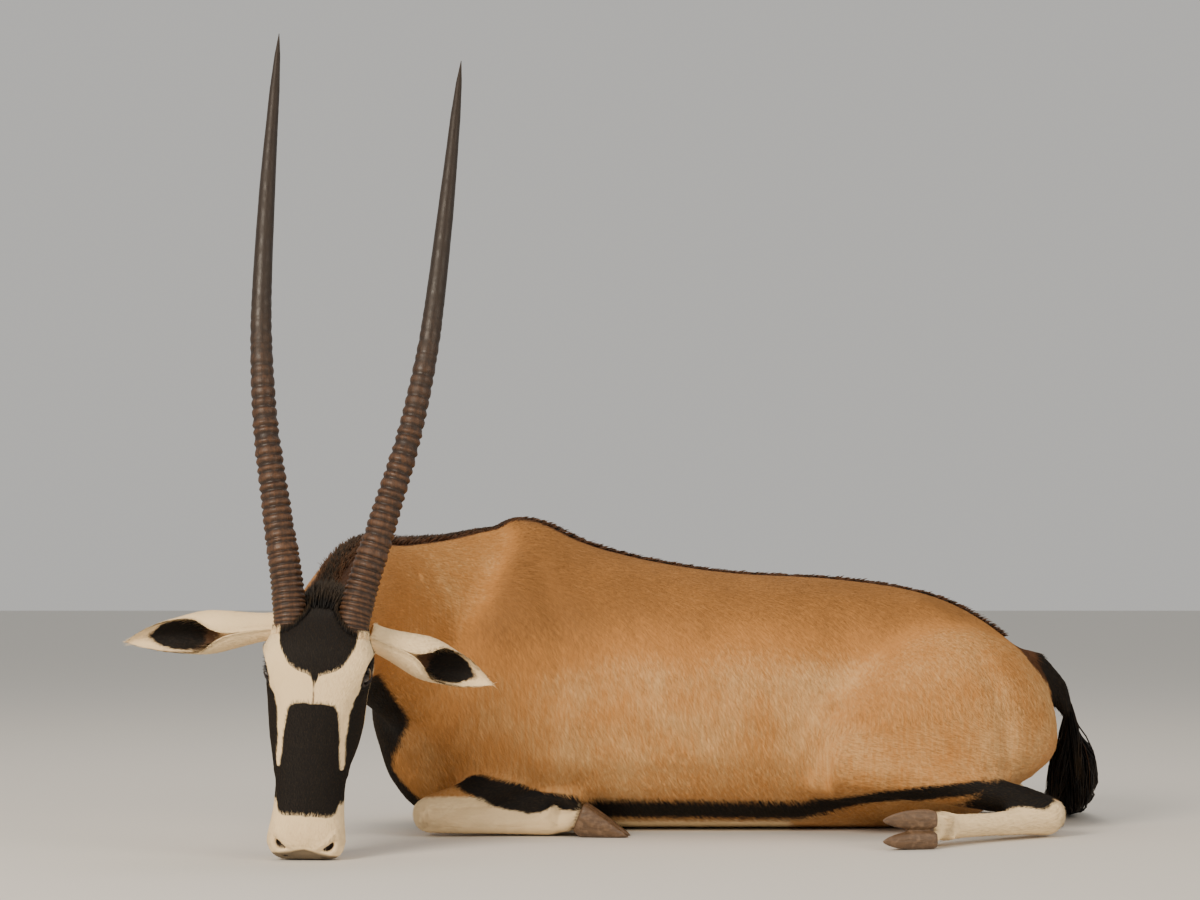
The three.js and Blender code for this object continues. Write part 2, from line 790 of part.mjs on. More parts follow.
function eye(side) {
  return solid(eyeBall(EYE_RADIUS, EYE_SIDES).translate(...mirroredX(EYE_CENTRE, side).toArray()));
}

function lids(side) {
  const looks = mirroredX(EYE_LOOKS, side).normalize();
  const centre = mirroredX(EYE_CENTRE, side).addScaledVector(looks, -LID_SINK);
  return solid(eyeBall(LID_RADIUS, LID_SIDES).translate(...centre.toArray()));
}

// The almond between the lids, as a prism that runs out along the way the eye looks
function lidOpening(side) {
  const { halfLength, halfHeight, lean, power, from, to, sides } = LID_OPENING;
  const outlines = [from, to].map((depth) =>
    Array.from({ length: sides }, (_, index) => {
      const angle = (2 * Math.PI * index) / sides;
      const height = halfHeight * signedPower(Math.sin(angle), power);
      return point([height, halfLength * Math.cos(angle), depth]);
    }),
  );
  const place = featureMatrix(mirroredX(EYE_CENTRE, side), mirroredX(EYE_LOOKS, side), side * lean);
  return solid(loft(outlines).applyMatrix4(place));
}

function nostril(side) {
  const { centre, halfLength, halfWidth, depth, lean, sides } = NOSTRIL;
  const hollow = new THREE.SphereGeometry(1, ...sides).scale(halfWidth, depth, halfLength);
  hollow.rotateY(side * radians(lean));
  return solid(hollow.translate(...mirroredX(centre, side).toArray()));
}

function mouthGroove(side) {
  const { radius, cornerShare, sides } = MOUTH_GROOVE;
  const stations = MOUTH_LINE.map(([z, y], index) => ({
    centre: mirroredX([headHalfWidth(z, y), y, z], side),
    section: round(radius, radius * (index === MOUTH_LINE.length - 1 ? cornerShare : 1)),
  }));
  return solid(tube(stations, sides, point([1, 0, 0])));
}

function headMatrix() {
  const { x, y, z, roll, tilt } = HEAD_PLACE;
  const turn = new THREE.Euler(radians(tilt), radians(roll), 0, "YXZ");
  return new THREE.Matrix4().makeRotationFromEuler(turn).setPosition(x, y, z);
}

function head(eyes) {
  const first = HEAD[0][0];
  const last = HEAD[HEAD.length - 1][0];
  const skull = solid(loft(spread(first, last, HEAD_SECTIONS).map(headOutline)));
  const both = (make) => [LEFT, RIGHT].map(make);
  const fleshed = joined([skull, ...both(lids)]);
  const cuts = [...both(lidOpening), ...both(nostril), ...both(mouthGroove), ...eyes.map(grown)];
  const carved = fleshed.subtract(joined(cuts));
  const ground = moved(GROUND, headMatrix().invert());
  return largest(carved.subtract(ground));
}

// Horns
const hornCentre = (length, side) => {
  const share = Math.max(0, length) / HORN_LENGTH;
  const across = side * rowAt(HORN_SPREAD, length)[1] + HORN_LEAN.sideways * share;
  const lean = HORN_LEAN.straight * share + HORN_LEAN.curved * share ** 2;
  const rise = side === LEFT ? HORN_RISE.right : HORN_RISE.left;
  return point([across, HORN_ROOT.y + lean, HORN_ROOT.z + rise * length]);
};

// The lengths at which a horn has a station, each with how far its surface stands out there
function hornPlaces() {
  const { count, first, spacing, growth, crest, groove, fading } = HORN_RINGS;
  const places = [[-HORN_ROOT.sunk, 0]];
  let length = first;
  for (let ring = 0; ring < count; ring += 1) {
    const step = spacing + growth * ring;
    const fade = Math.min(1, (count - ring) / fading);
    places.push([length, crest * fade], [length + step * GROOVE_SHARE, -groove * fade]);
    length += step;
  }
  for (let index = 0; index < HORN_SMOOTH_SECTIONS; index += 1) {
    const share = index / (HORN_SMOOTH_SECTIONS - 1);
    places.push([length + (HORN_LENGTH - length) * share, 0]);
  }
  return places;
}

function horn(side, skull) {
  const stations = hornPlaces().map(([length, proud]) => {
    const radius = rowAt(HORN_RADIUS, length)[1] + proud;
    return { centre: hornCentre(length, side), section: round(radius, radius) };
  });
  return cutClear(solid(tube(stations, HORN_SIDES, point([0, -1, 0]))), [skull]);
}

// Ears
function ear({ root, tip, opens, bow }, skull) {
  const start = point(root);
  const along = point(tip).sub(start);
  const length = along.length();
  along.normalize();
  const across = along.clone().cross(point(opens)).normalize();
  const opening = across.clone().cross(along);
  const outlines = spread(0, 1, EAR_SECTIONS).map((share) => {
    const [, radius, reach] = rowAt(EAR, share);
    const centre = start.clone().addScaledVector(along, share * length);
    centre.addScaledVector(opening, -bow * Math.sin(Math.PI * share));
    const curled = (distance) =>
      Array.from({ length: EAR_SPANS + 1 }, (_, index) => {
        const angle = radians(reach) * ((2 * index) / EAR_SPANS - 1);
        return centre
          .clone()
          .addScaledVector(opening, -distance * Math.cos(angle))
          .addScaledVector(across, distance * Math.sin(angle));
      });
    const sheet = Math.min(EAR_SHEET, radius * EAR_SHEET_SHARE);
    return [...curled(radius), ...curled(radius - sheet).reverse()];
  });
  return cutClear(solid(loft(outlines, true)), [skull]);
}

// Tail
function tuftLock(path, start, angle, seed) {
  const { reach, halfWidth, thickness, floor, rootDepth, tipDepth, opening, spin } = TUFT_LOCKS;
  const sizes = TUFT.map(([, , , above, half], index) => [index / (TUFT.length - 1), above, half]);
  const vary = (part) => 1 + LOCK_VARIETY * (varied(seed + part) - 0.5);
  const facing = point([0, 0, 0]);
  const centres = TUFT_LOCK_SHARES.map((share) => {
    const place = Math.min(1, start + reach * share * vary(1));
    const along = path.getTangent(place);
    const across = along.clone().cross(TAIL_HINT).normalize();
    const up = across.clone().cross(along);
    const [, above, half] = rowAt(sizes, place);
    const opened = Math.sin((Math.PI / 2) * Math.min(1, share * opening));
    const out = THREE.MathUtils.lerp(rootDepth, 1, opened) * tipDepth;
    const turn = angle + spin * share * vary(2);
    const radial = across.multiplyScalar(half * Math.cos(turn)).addScaledVector(up, above * Math.sin(turn));
    facing.add(radial);
    const centre = path.getPoint(place).addScaledVector(radial, out);
    centre.z = Math.max(centre.z, floor);
    return centre;
  });
  return lock(centres, halfWidth * vary(3), thickness, facing.normalize());
}

function tuftLocks() {
  const path = new THREE.CatmullRomCurve3(TUFT.map(([x, y, z]) => point([x, y, z])));
  const { tiers, around, first, step } = TUFT_LOCKS;
  const locks = [];
  for (let tier = 0; tier < tiers; tier += 1) {
    for (let index = 0; index < around; index += 1) {
      const angle = (2 * Math.PI * (index + 0.5 * (tier % 2))) / around;
      locks.push(tuftLock(path, step * (tier + first), angle, 11 * tier + index));
    }
  }
  return joined(locks);
}

function tail() {
  const dock = solid(limb(TAIL, 1, { sides: TAIL_SIDES, hint: TAIL_HINT, roundEnd: true }));
  const slim = TUFT.map(([x, y, z, above, half]) => [x, y, z, above * TUFT_CORE, half * TUFT_CORE]);
  const core = solid(tube(limbStations(slim, 1), TAIL_SIDES, TAIL_HINT));
  return aboveGround(joined([dock, core, tuftLocks()]));
}

// The whole animal, part by part
const gemsbok = new THREE.Group();

function addPart(group, name, body, material) {
  const part = new THREE.Mesh(geometryOf(body), material.clone());
  part.name = name;
  group.add(part);
  return part;
}

function addLegs(torso) {
  const legs = [];
  for (const [name, side] of Object.entries(SIDES)) {
    const feet = { fore: [foreLeg(side, torso), FORE_FOOT], hind: [hindLeg(side, torso), hindFoot(side)] };
    for (const [end, [leg, foot]] of Object.entries(feet)) {
      addPart(gemsbok, `${end}leg_${name}`, leg, end === "fore" ? PALE_HAIR : COAT);
      for (const [clawName, outward] of Object.entries({ inner: -1, outer: 1 })) {
        addPart(gemsbok, `hoof_${end}_${name}_${clawName}`, hoofClaw(foot, side, -side * outward), HOOF);
      }
      legs.push(leg);
    }
  }
  return legs;
}

function addHead() {
  const group = new THREE.Group();
  headMatrix().decompose(group.position, group.quaternion, group.scale);
  const eyes = [LEFT, RIGHT].map(eye);
  const skull = head(eyes);
  addPart(group, "head", skull, FACE);
  for (const [name, side] of Object.entries({ right: LEFT, left: RIGHT })) {
    addPart(group, `eye_${name}`, eyes[side === LEFT ? 0 : 1], EYE);
    addPart(group, `horn_${name}`, horn(side, skull), HORN);
    addPart(group, `ear_${name}`, ear(EARS[name], skull), PALE_HAIR);
  }
  gemsbok.add(group);
  return moved(skull, headMatrix());
}

const flesh = aboveGround(joined([trunk(), neck(), maneCore(), maneLocks()]));
const shoulders = parted(flesh, NECK_ROOT_CUT);
const necks = parted(shoulders.beyond, NECK_MIDDLE_CUT);
const torso = shoulders.before;
const legs = addLegs(torso);
const skull = addHead();
addPart(gemsbok, "torso", torso, COAT);
addPart(gemsbok, "neck_lower", necks.before, DARK_HAIR);
addPart(gemsbok, "neck_upper", cutClear(necks.beyond, [skull]), DARK_HAIR);

const tails = parted(cutClear(tail(), [torso, ...legs]), TAIL_CUT);
addPart(gemsbok, "tail", tails.before, DARK_HAIR);
addPart(gemsbok, "tail_tuft", tails.beyond, DARK_HAIR);

// The origin lies on the ground under the middle of the whole
const extent = new THREE.Box3().setFromObject(gemsbok);
const middle = extent.getCenter(new THREE.Vector3());
gemsbok.position.set(-middle.x, -middle.y, 0);

export default gemsbok;
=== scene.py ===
"""A life-size gemsbok lying on its chest and belly, with skin, coat, horns, eyes and hooves."""
import math

import bmesh
import bpy
import numpy as np
from bpy.props import FloatProperty, FloatVectorProperty, IntProperty, PointerProperty
from mathutils import Matrix, Vector
from mathutils.bvhtree import BVHTree


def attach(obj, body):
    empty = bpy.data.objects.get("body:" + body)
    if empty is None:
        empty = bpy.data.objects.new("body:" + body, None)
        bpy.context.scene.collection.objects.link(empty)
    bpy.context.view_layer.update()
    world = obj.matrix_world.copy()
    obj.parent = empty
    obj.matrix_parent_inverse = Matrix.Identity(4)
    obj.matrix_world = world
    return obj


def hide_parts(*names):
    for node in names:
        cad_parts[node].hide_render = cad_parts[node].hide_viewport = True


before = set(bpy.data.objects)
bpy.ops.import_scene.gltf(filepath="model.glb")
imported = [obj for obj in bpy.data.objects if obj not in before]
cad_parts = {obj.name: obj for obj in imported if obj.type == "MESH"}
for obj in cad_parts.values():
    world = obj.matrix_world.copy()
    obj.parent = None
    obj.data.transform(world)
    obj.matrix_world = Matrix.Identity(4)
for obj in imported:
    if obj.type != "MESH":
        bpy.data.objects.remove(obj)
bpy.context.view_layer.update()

bl_info = {
    "name": "Lying Gemsbok",
    "version": (1, 0, 0),
    "blender": (4, 5, 0),
    "location": "View3D > Sidebar > Gemsbok",
    "description": "Skin, coat, horns, eyes and hooves of a life-size lying gemsbok on its solid frame",
    "category": "Add Mesh",
}

MM = 0.001

# The head's own place: millimetres from the muzzle's tip, X to its left, Y to its throat, Z to its poll
HEAD_ORIGIN = np.array((-458.0, -620.0, -3.0))
HEAD_TURN = Matrix.Rotation(math.radians(3.8), 4, "Y") @ Matrix.Rotation(math.radians(-4), 4, "X")
HEAD_AXES = np.array(HEAD_TURN.to_3x3())
HEAD_SIDES = {"left": 1, "right": -1}
EYE_CENTRE = np.array((71.0, -10.0, 296.0))
EYE_LOOKS = np.array((0.93, -0.36, 0.04))
EYE_RADIUS = 19.5

# Middle line of the neck, from the shoulders to the head: x, y, z, half height, half width
NECK = np.array([
    (-150, 10, 300, 232, 148),
    (-258, -48, 322, 200, 136),
    (-345, -150, 352, 153, 107),
    (-398, -270, 376, 121, 88),
    (-425, -385, 355, 107, 78),
    (-436, -475, 321, 98, 72),
    (-434, -548, 318, 84, 62),
], float)
NECK_POWERS = (1.8, 2.1)

# Middle lines of the limbs and tail, with y counted from the animal's middle to the limb's own side
FORE_LINE = [
    (-30, 137, 136), (-205, 193, 60), (-292, 218, 34), (-160, 211, 21), (-84, 212, 24), (-10, 220, 14),
]
HIND_LINE = [
    (640, 130, 330), (430, 190, 170), (400, 226, 128), (590, 232, 90),
    (762, 224, 34), (560, 373, 31), (480, 450, 31),
]
TAIL_LINE = [(722, 0, 298), (775, 2, 290), (815, 8, 246), (834, 20, 182), (841, 45, 116), (845, 95, 62)]

FLESH = ["torso", "neck_lower", "neck_upper", "head", "foreleg_left", "foreleg_right", "hindleg_left",
         "hindleg_right", "tail", "ear_left", "ear_right"]

# Markings of the head in its own millimetres: rows of height and half width, or of height and two depths
NOSE_PATCH = [(60, 43), (72, 46), (120, 47), (160, 46), (200, 42), (243, 38)]
NOSE_PATCH_SPAN = (71, 244)
FOREHEAD_PATCH = [(270, 0), (288, 8), (294, 27), (302, 40), (312, 48), (335, 58), (360, 64), (420, 60)]
EYE_STRIPE = [
    (90, -12, 12), (110, -60, 30), (132, -60, 36), (146, -10, 38), (195, -21, 34),
    (243, -26, 22), (275, -31, 16), (310, -30, 12), (340, -14, 14), (378, 0, 24),
]
MUZZLE_SPIKES = {"x": 49, "half_width": 5, "bottom": 66, "top": 100}

# Ears: share of the length, radius of the curl in millimetres, and how far round it reaches in degrees
EAR_ROWS = np.array([
    (0, 21, 180), (0.12, 22, 180), (0.24, 26, 180), (0.36, 31, 176), (0.45, 34, 160), (0.54, 33.5, 128),
    (0.66, 29, 102), (0.78, 24.5, 84), (0.88, 18, 70), (0.95, 11, 60), (1, 2, 50),
], float)
EARS = {
    "right": {"root": (-66, 50, 366), "tip": (-311, 60, 324), "opens": (0.03, -0.96, -0.27), "bow": 8},
    "left": {"root": (70, 48, 358), "tip": (266, 96, 297), "opens": (0.1, -0.97, -0.12), "bow": 9},
}


def linear(hex_colour):
    """A linear colour from an sRGB hex value."""
    value = int(hex_colour.lstrip("#"), 16)
    parts = [(value >> shift & 255) / 255 for shift in (16, 8, 0)]
    return tuple(p / 12.92 if p <= 0.04045 else ((p + 0.055) / 1.055) ** 2.4 for p in parts)


def colour_setting(name, description, hex_colour):
    return FloatVectorProperty(name=name, description=description, subtype="COLOR", size=3, min=0, max=1,
                               default=linear(hex_colour))


def length_setting(name, description, millimetres):
    return FloatProperty(name=name, description=description, subtype="DISTANCE", unit="LENGTH", min=0,
                         default=millimetres * MM)


def count_setting(name, description, count):
    return IntProperty(name=name, description=description, default=count, min=0)


class SkinSettings(bpy.types.PropertyGroup):
    """Sizes of the skin under the coat"""
    body_mesh: length_setting("Body Mesh", "Edge length of the skin on the body", 7.6)
    coat_depth: length_setting("Coat Depth", "How far the skin lies inside the solids on the body", 2.2)
    face_depth: length_setting("Face Depth", "How far the skin lies inside the solids on the head", 1.2)


class CoatSettings(bpy.types.PropertyGroup):
    """Numbers and sizes of the tufts"""
    torso_tufts: count_setting("Torso Tufts", "Tufts on the trunk", 140000)
    haunch_tufts: count_setting("Haunch Tufts", "Tufts on the haunches", 48000)
    neck_tufts: count_setting("Neck Tufts", "Tufts on the neck", 42000)
    head_tufts: count_setting("Head Tufts", "Tufts on the head", 48000)
    leg_tufts: count_setting("Leg Tufts", "Tufts on the legs", 26000)
    ear_tufts: count_setting("Ear Tufts", "Tufts on both ears", 20000)
    mane_locks: count_setting("Mane Locks", "Locks in the mane", 4200)
    tail_locks: count_setting("Tail Locks", "Locks in the tail's tuft", 2800)
    body_length: length_setting("Body Hair", "Length of the hair on the body", 15)
    face_length: length_setting("Face Hair", "Length of the hair on the face", 7)
    mane_length: length_setting("Mane Hair", "Height of the mane above the neck", 30)


class ColourSettings(bpy.types.PropertyGroup):
    """Colours of the coat, horn and hoof"""
    tan: colour_setting("Tan", "Hair of the body", "#BD8346")
    pale: colour_setting("Pale", "Lightest hair of the body", "#D8AE78")
    white: colour_setting("White", "Hair of the face and lower legs", "#FCE0B2")
    brown: colour_setting("Brown", "Hair of the mane's sides and the breast", "#452614")
    black: colour_setting("Black", "Hair of the dark markings", "#0D0907")
    bare: colour_setting("Bare Skin", "Lids, nostrils and lips", "#2E2623")
    # The crests' paler colour is partly worn horn and partly painted highlight; the grooves' darker colour is
    # painted shade
    horn_crest_lit_and_worn: colour_setting("Horn Crests", "Worn rings of the horn", "#5E3F27")
    horn_groove_shaded: colour_setting("Horn Grooves", "Hollows between the rings", "#2C1D13")
    horn_tip: colour_setting("Horn Tips", "Smooth upper half of the horn", "#2E241B")
    hoof: colour_setting("Hoof", "Wall of the claws", "#58422E")


class StudioSettings(bpy.types.PropertyGroup):
    """Camera and light"""
    camera_distance: length_setting("Camera Distance", "From the body's middle", 4860)
    camera_height: length_setting("Camera Height", "Above the floor", 440)
    key_power: FloatProperty(name="Key Light", description="Power of the main light in watts", unit="POWER",
                             min=0, default=150)


class GemsbokSettings(bpy.types.PropertyGroup):
    """All settings of the gemsbok"""
    skin: PointerProperty(type=SkinSettings)
    coat: PointerProperty(type=CoatSettings)
    colours: PointerProperty(type=ColourSettings)
    studio: PointerProperty(type=StudioSettings)


def settings():
    return bpy.context.scene.gemsbok


# Places: the row's frame in metres, the plan in millimetres of the animal's middle, and the head's own
def read_all(items, name, width=1, kind=np.float32):
    """One property of every item in a list of a mesh, as a row of the given width for each."""
    values = np.empty(len(items) * width, kind)
    items.foreach_get(name, values)
    return values.reshape(-1, width) if width > 1 else values


def mesh_points(mesh):
    return read_all(mesh.vertices, "co", 3).astype(float)


def head_to_plan(points):
    return np.asarray(points, float) @ HEAD_AXES.T + HEAD_ORIGIN


def plan_to_head(points):
    return (points - HEAD_ORIGIN) @ HEAD_AXES


# The plan's origin, from where the left eye's solid lies
PLAN_ORIGIN = mesh_points(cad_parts["eye_left"].data).mean(axis=0) / MM - head_to_plan(EYE_CENTRE)


def to_plan(points):
    return points / MM - PLAN_ORIGIN


def to_row(points):
    return (np.asarray(points, float) + PLAN_ORIGIN) * MM


def unit(vectors):
    lengths = np.linalg.norm(vectors, axis=-1, keepdims=True)
    return vectors / np.maximum(lengths, 1e-9)


def smooth_rows(rows, places):
    """Rows at places counted in row numbers, on a smooth curve through all of them."""
    rows = np.asarray(rows, float)
    padded = np.vstack([2 * rows[0] - rows[1], rows, 2 * rows[-1] - rows[-2]])
    low = np.clip(np.floor(places).astype(int), 0, len(rows) - 2)
    t = (places - low)[:, None]
    a, b, c, d = (padded[low + step] for step in range(4))
    return 0.5 * (2 * b + (c - a) * t + (2 * a - 5 * b + 4 * c - d) * t**2 + (3 * b - a - 3 * c + d) * t**3)


def line_through(rows, count):
    return smooth_rows(rows, np.linspace(0, len(rows) - 1, count))


def interpolated(place, rows, column=1):
    rows = np.asarray(rows, float)
    return np.interp(place, rows[:, 0], rows[:, column])


def soft_min(*values, round_by=5.0):
    """The least of several depths, with its corners rounded."""
    least = np.minimum.reduce([np.broadcast_to(v, values[0].shape) for v in values])
    total = sum(np.exp(np.maximum(-(v - least) / round_by, -60)) for v in values)
    return least - round_by * np.log(total)


def between(value, low, high):
    return np.minimum(value - low, high - value)


def smoothstep(value, low, high):
    t = np.clip((value - low) / (high - low), 0, 1)
    return t * t * (3 - 2 * t)


# The neck's own place: how far along it, to its side and above its middle line
NECK_STEPS = 72


def neck_frames():
    rows = line_through(NECK, NECK_STEPS)
    centres = rows[:, :3]
    along = unit(np.gradient(centres, axis=0))
    side = unit(np.cross(along, (0, 0, 1)))
    return {"centre": centres, "along": along, "side": side, "up": np.cross(side, along), "high": rows[:, 3],
            "wide": rows[:, 4]}


NECK_FRAMES = neck_frames()


def neck_place(plan):
    """For each point its nearest step of the neck, and its place to the side and above in millimetres."""
    gaps = ((plan[:, None, :] - NECK_FRAMES["centre"][None]) ** 2).sum(axis=2)
    step = gaps.argmin(axis=1)
    away = plan - NECK_FRAMES["centre"][step]
    side = (away * NECK_FRAMES["side"][step]).sum(axis=1)
    above = (away * NECK_FRAMES["up"][step]).sum(axis=1)
    return step, side, above


def neck_tube(sides=56):
    """The bare neck without its mane, as closed rings of points and faces in the plan."""
    angles = np.linspace(0, 2 * np.pi, sides, endpoint=False)
    sine, cosine = np.sin(angles), np.cos(angles)
    power = np.where(sine >= 0, 2 / NECK_POWERS[0], 2 / NECK_POWERS[1])
    across = np.sign(cosine) * np.abs(cosine) ** power
    rise = np.sign(sine) * np.abs(sine) ** power
    f = NECK_FRAMES
    rings = (f["centre"][:, None] + f["side"][:, None] * (f["wide"][:, None] * across)[..., None]
             + f["up"][:, None] * (f["high"][:, None] * rise)[..., None])
    return rings


# Skin that closes the fold between forearm and shin: places and radius, with y to the limb's own side
FORE_WEB = np.array([(-170, 200, 52, 12), (-120, 200, 50, 17), (-70, 196, 56, 19), (-30, 190, 60, 14)], float)


def web_tube(side, sides=12):
    rows = line_through(FORE_WEB, 10)
    angles = np.linspace(0, 2 * np.pi, sides, endpoint=False)
    round_it = np.column_stack([np.zeros(sides), np.cos(angles), np.sin(angles)])
    rings = rows[:, None, :3] + rows[:, 3, None, None] * round_it
    return rings * np.array((1, side, 1))


def loft(rings):
    """Points and faces of a closed skin over rings of points, with flat ends."""
    steps, sides = rings.shape[:2]
    index = np.arange(steps * sides).reshape(steps, sides)
    turned = np.roll(index, -1, axis=1)
    quads = np.stack([index[:-1], turned[:-1], turned[1:], index[1:]], axis=-1).reshape(-1, 4)
    return rings.reshape(-1, 3), [list(q) for q in quads] + [list(index[0][::-1]), list(index[-1])]


# Meshes from lists, and back
def new_mesh(name, points, faces):
    mesh = bpy.data.meshes.new(name)
    mesh.from_pydata([tuple(p) for p in points], [], faces)
    mesh.update()
    return mesh


def triangle_mesh(name, points, triangles):
    """A mesh of many loose triangles' worth of tufts, written in one go."""
    mesh = bpy.data.meshes.new(name)
    mesh.vertices.add(len(points))
    mesh.vertices.foreach_set("co", np.asarray(points, np.float32).ravel())
    mesh.loops.add(len(triangles) * 3)
    mesh.loops.foreach_set("vertex_index", np.asarray(triangles, np.int32).ravel())
    mesh.polygons.add(len(triangles))
    mesh.polygons.foreach_set("loop_start", np.arange(0, len(triangles) * 3, 3, dtype=np.int32))
    mesh.update(calc_edges=True)
    return mesh


def set_normals(mesh, normals):
    """Shade a mesh as if its vertices faced the given way."""
    set_smooth(mesh)
    mesh.normals_split_custom_set_from_vertices(normals.astype(np.float32))


def set_smooth(mesh):
    mesh.polygons.foreach_set("use_smooth", np.ones(len(mesh.polygons), bool))


def add_object(name, mesh):
    piece = bpy.data.objects.new(name, mesh)
    bpy.context.scene.collection.objects.link(piece)
    return piece


def merged_copy(nodes, extra=()):
    """One mesh of copies of the named solids, each merged into a closed skin, and of lofts in the plan."""
    bm = bmesh.new()
    for node in nodes:
        bm.from_mesh(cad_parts[node].data)
    bmesh.ops.remove_doubles(bm, verts=bm.verts, dist=0.02 * MM)
    for rings in extra:
        points, faces = loft(rings)
        corners = [bm.verts.new(p) for p in to_row(points)]
        added = [bm.faces.new([corners[i] for i in face]) for face in faces]
        bmesh.ops.recalc_face_normals(bm, faces=added)
    mesh = bpy.data.meshes.new("copy")
    bm.to_mesh(mesh)
    bm.free()
    return mesh


def remeshed(mesh, size):
    """The outer skin of overlapping closed meshes, in even cells."""
    holder = add_object("holder", mesh)
    cells = holder.modifiers.new("cells", "REMESH")
    cells.mode = "VOXEL"
    cells.voxel_size = size
    result = bpy.data.meshes.new_from_object(holder.evaluated_get(bpy.context.evaluated_depsgraph_get()))
    bpy.data.objects.remove(holder)
    return result


def edges_of(mesh):
    return read_all(mesh.edges, "vertices", 2, np.int32)


def neighbour_mean(values, ends, counts):
    """The mean of a value over each vertex's neighbours."""
    total = np.empty_like(values)
    for column in range(values.shape[1]):
        total[:, column] = (np.bincount(ends[:, 0], values[ends[:, 1], column], len(values))
                            + np.bincount(ends[:, 1], values[ends[:, 0], column], len(values)))
    return total / counts[:, None]


def smoothed(values, ends, strength, rounds):
    counts = np.maximum(np.bincount(ends.ravel(), minlength=len(values)), 1)
    strength = np.broadcast_to(strength, len(values))[:, None]
    for _ in range(rounds):
        values = values + strength * (neighbour_mean(values, ends, counts) - values)
    return values


def normals_of(mesh):
    return read_all(mesh.vertices, "normal", 3).astype(float)


def unwrap_of(mesh):
    return read_all(mesh.uv_layers["OFBake"].data, "uv", 2)


def move_points(mesh, points):
    mesh.vertices.foreach_set("co", np.asarray(points, np.float32).ravel())
    mesh.update()


def refine(mesh, chosen):
    """Halve the cells whose middle is in the chosen place of the plan."""
    bm = bmesh.new()
    bm.from_mesh(mesh)
    middles = np.array([f.calc_center_median() for f in bm.faces])
    picked = chosen(to_plan(middles))
    bm.faces.ensure_lookup_table()
    edges = {e for face, use in zip(bm.faces, picked) if use for e in face.edges}
    bmesh.ops.subdivide_edges(bm, edges=list(edges), cuts=1, use_grid_fill=True)
    bm.to_mesh(mesh)
    bm.free()


# Distances to drawn lines
def nearest_on_line(points, line):
    """Distance from each point to a line of straight pieces, and the direction of the nearest piece."""
    line = np.asarray(line, float)
    least = np.full(len(points), 1e9)
    direction = np.zeros((len(points), 3))
    for start, end in zip(line[:-1], line[1:]):
        along = end - start
        share = np.clip((points - start) @ along / (along @ along), 0, 1)
        gap = np.linalg.norm(points - start - share[:, None] * along, axis=1)
        nearer = gap < least
        least[nearer] = gap[nearer]
        direction[nearer] = unit(along)
    return least, direction


def distance_to_line(points, line):
    return nearest_on_line(points, line)[0]


def mirrored(plan):
    """Points of the plan with y counted from the middle of the trunk to either side."""
    return plan * (1, 0, 1) + np.abs(plan) * (0, 1, 0)


def mirrored_head(head):
    """Points of the head's own place with x counted from its middle to either side."""
    return head * (0, 1, 1) + np.abs(head) * (1, 0, 0)


# Parts of the skin by the solid that each point lies nearest to
REGIONS = ["torso", "neck", "head", "foreleg", "hindleg", "tail"]


def region_shares(mesh):
    """How far each vertex belongs to each region, softened over the borders."""
    corners, faces, owners = [], [], []
    start = 0
    for node in FLESH:
        if node.startswith("ear"):
            continue
        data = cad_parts[node].data
        points = mesh_points(data)
        corners.extend(map(tuple, points))
        faces.extend([[start + v for v in p.vertices] for p in data.polygons])
        owners.extend([REGIONS.index(node.split("_")[0])] * len(data.polygons))
        start += len(points)
    tree = BVHTree.FromPolygons(corners, faces)
    nearest = [owners[tree.find_nearest(p)[2]] for p in mesh_points(mesh)]
    shares = np.eye(len(REGIONS))[nearest]
    return smoothed(shares, edges_of(mesh), 0.5, 12)


def share_of(shares, region):
    return shares[:, REGIONS.index(region)]


# Softening in millimetres, and how far the skin lies inside the solids' faces
SOFTENING = {"torso": 15, "neck": 13, "head": 6.5, "foreleg": 5, "hindleg": 5, "tail": 9}
THIGH_SOFTENING = 32
SOFTEN_ROUNDS = 60
SKIN_FLOOR = 0.6 * MM

# Sculpted ridges and hollows in the plan: line, half width and height in millimetres
SCULPTED = [
    ([(-230, 0, 535), (-155, 0, 550), (-80, 0, 528)], 52, 6),
    ([(-100, 150, 470), (-62, 215, 300), (-80, 215, 150)], 24, -7),
    ([(-90, 205, 130), (-60, 205, 120)], 34, 7),
    ([(430, 190, 350), (425, 205, 290)], 46, -8),
    ([(560, 100, 405), (600, 120, 385)], 26, 6),
    ([(400, 232, 210), (370, 225, 110)], 18, -6),
    ([(640, 215, 330), (690, 225, 200), (700, 215, 110)], 20, -5),
    ([(-150, 90, 500), (-110, 105, 470)], 30, -4),
    ([(-330, 0, 380), (-400, 0, 330), (-440, 0, 220), (-420, 0, 100)], 20, -6),
    ([(-330, 160, 330), (-320, 180, 230), (-240, 196, 140), (-120, 200, 100)], 44, 9),
    ([(-412, 88, 290), (-400, 104, 190), (-350, 118, 95)], 24, -9),
    ([(-240, 190, 330), (-300, 150, 400), (-340, 110, 440)], 26, -5),
    ([(-20, 205, 100), (120, 225, 84), (300, 215, 84)], 34, -2),
    ([(770, 60, 300), (790, 70, 230), (785, 70, 150)], 24, -7),
    ([(720, 110, 310), (760, 130, 250), (760, 140, 170)], 40, 5),
]
RIBS = {"first": 20, "last": 300, "spacing": 42, "height": 0.55, "slope": 0.22}
NECK_FOLDS = [
    ([(-286, -190, 430), (-300, -200, 360), (-318, -196, 300)], 9, -4),
    ([(-312, -230, 440), (-328, -240, 370), (-342, -232, 310)], 9, -4),
    ([(-262, -150, 430), (-274, -162, 360), (-290, -160, 290)], 10, -3.5),
]

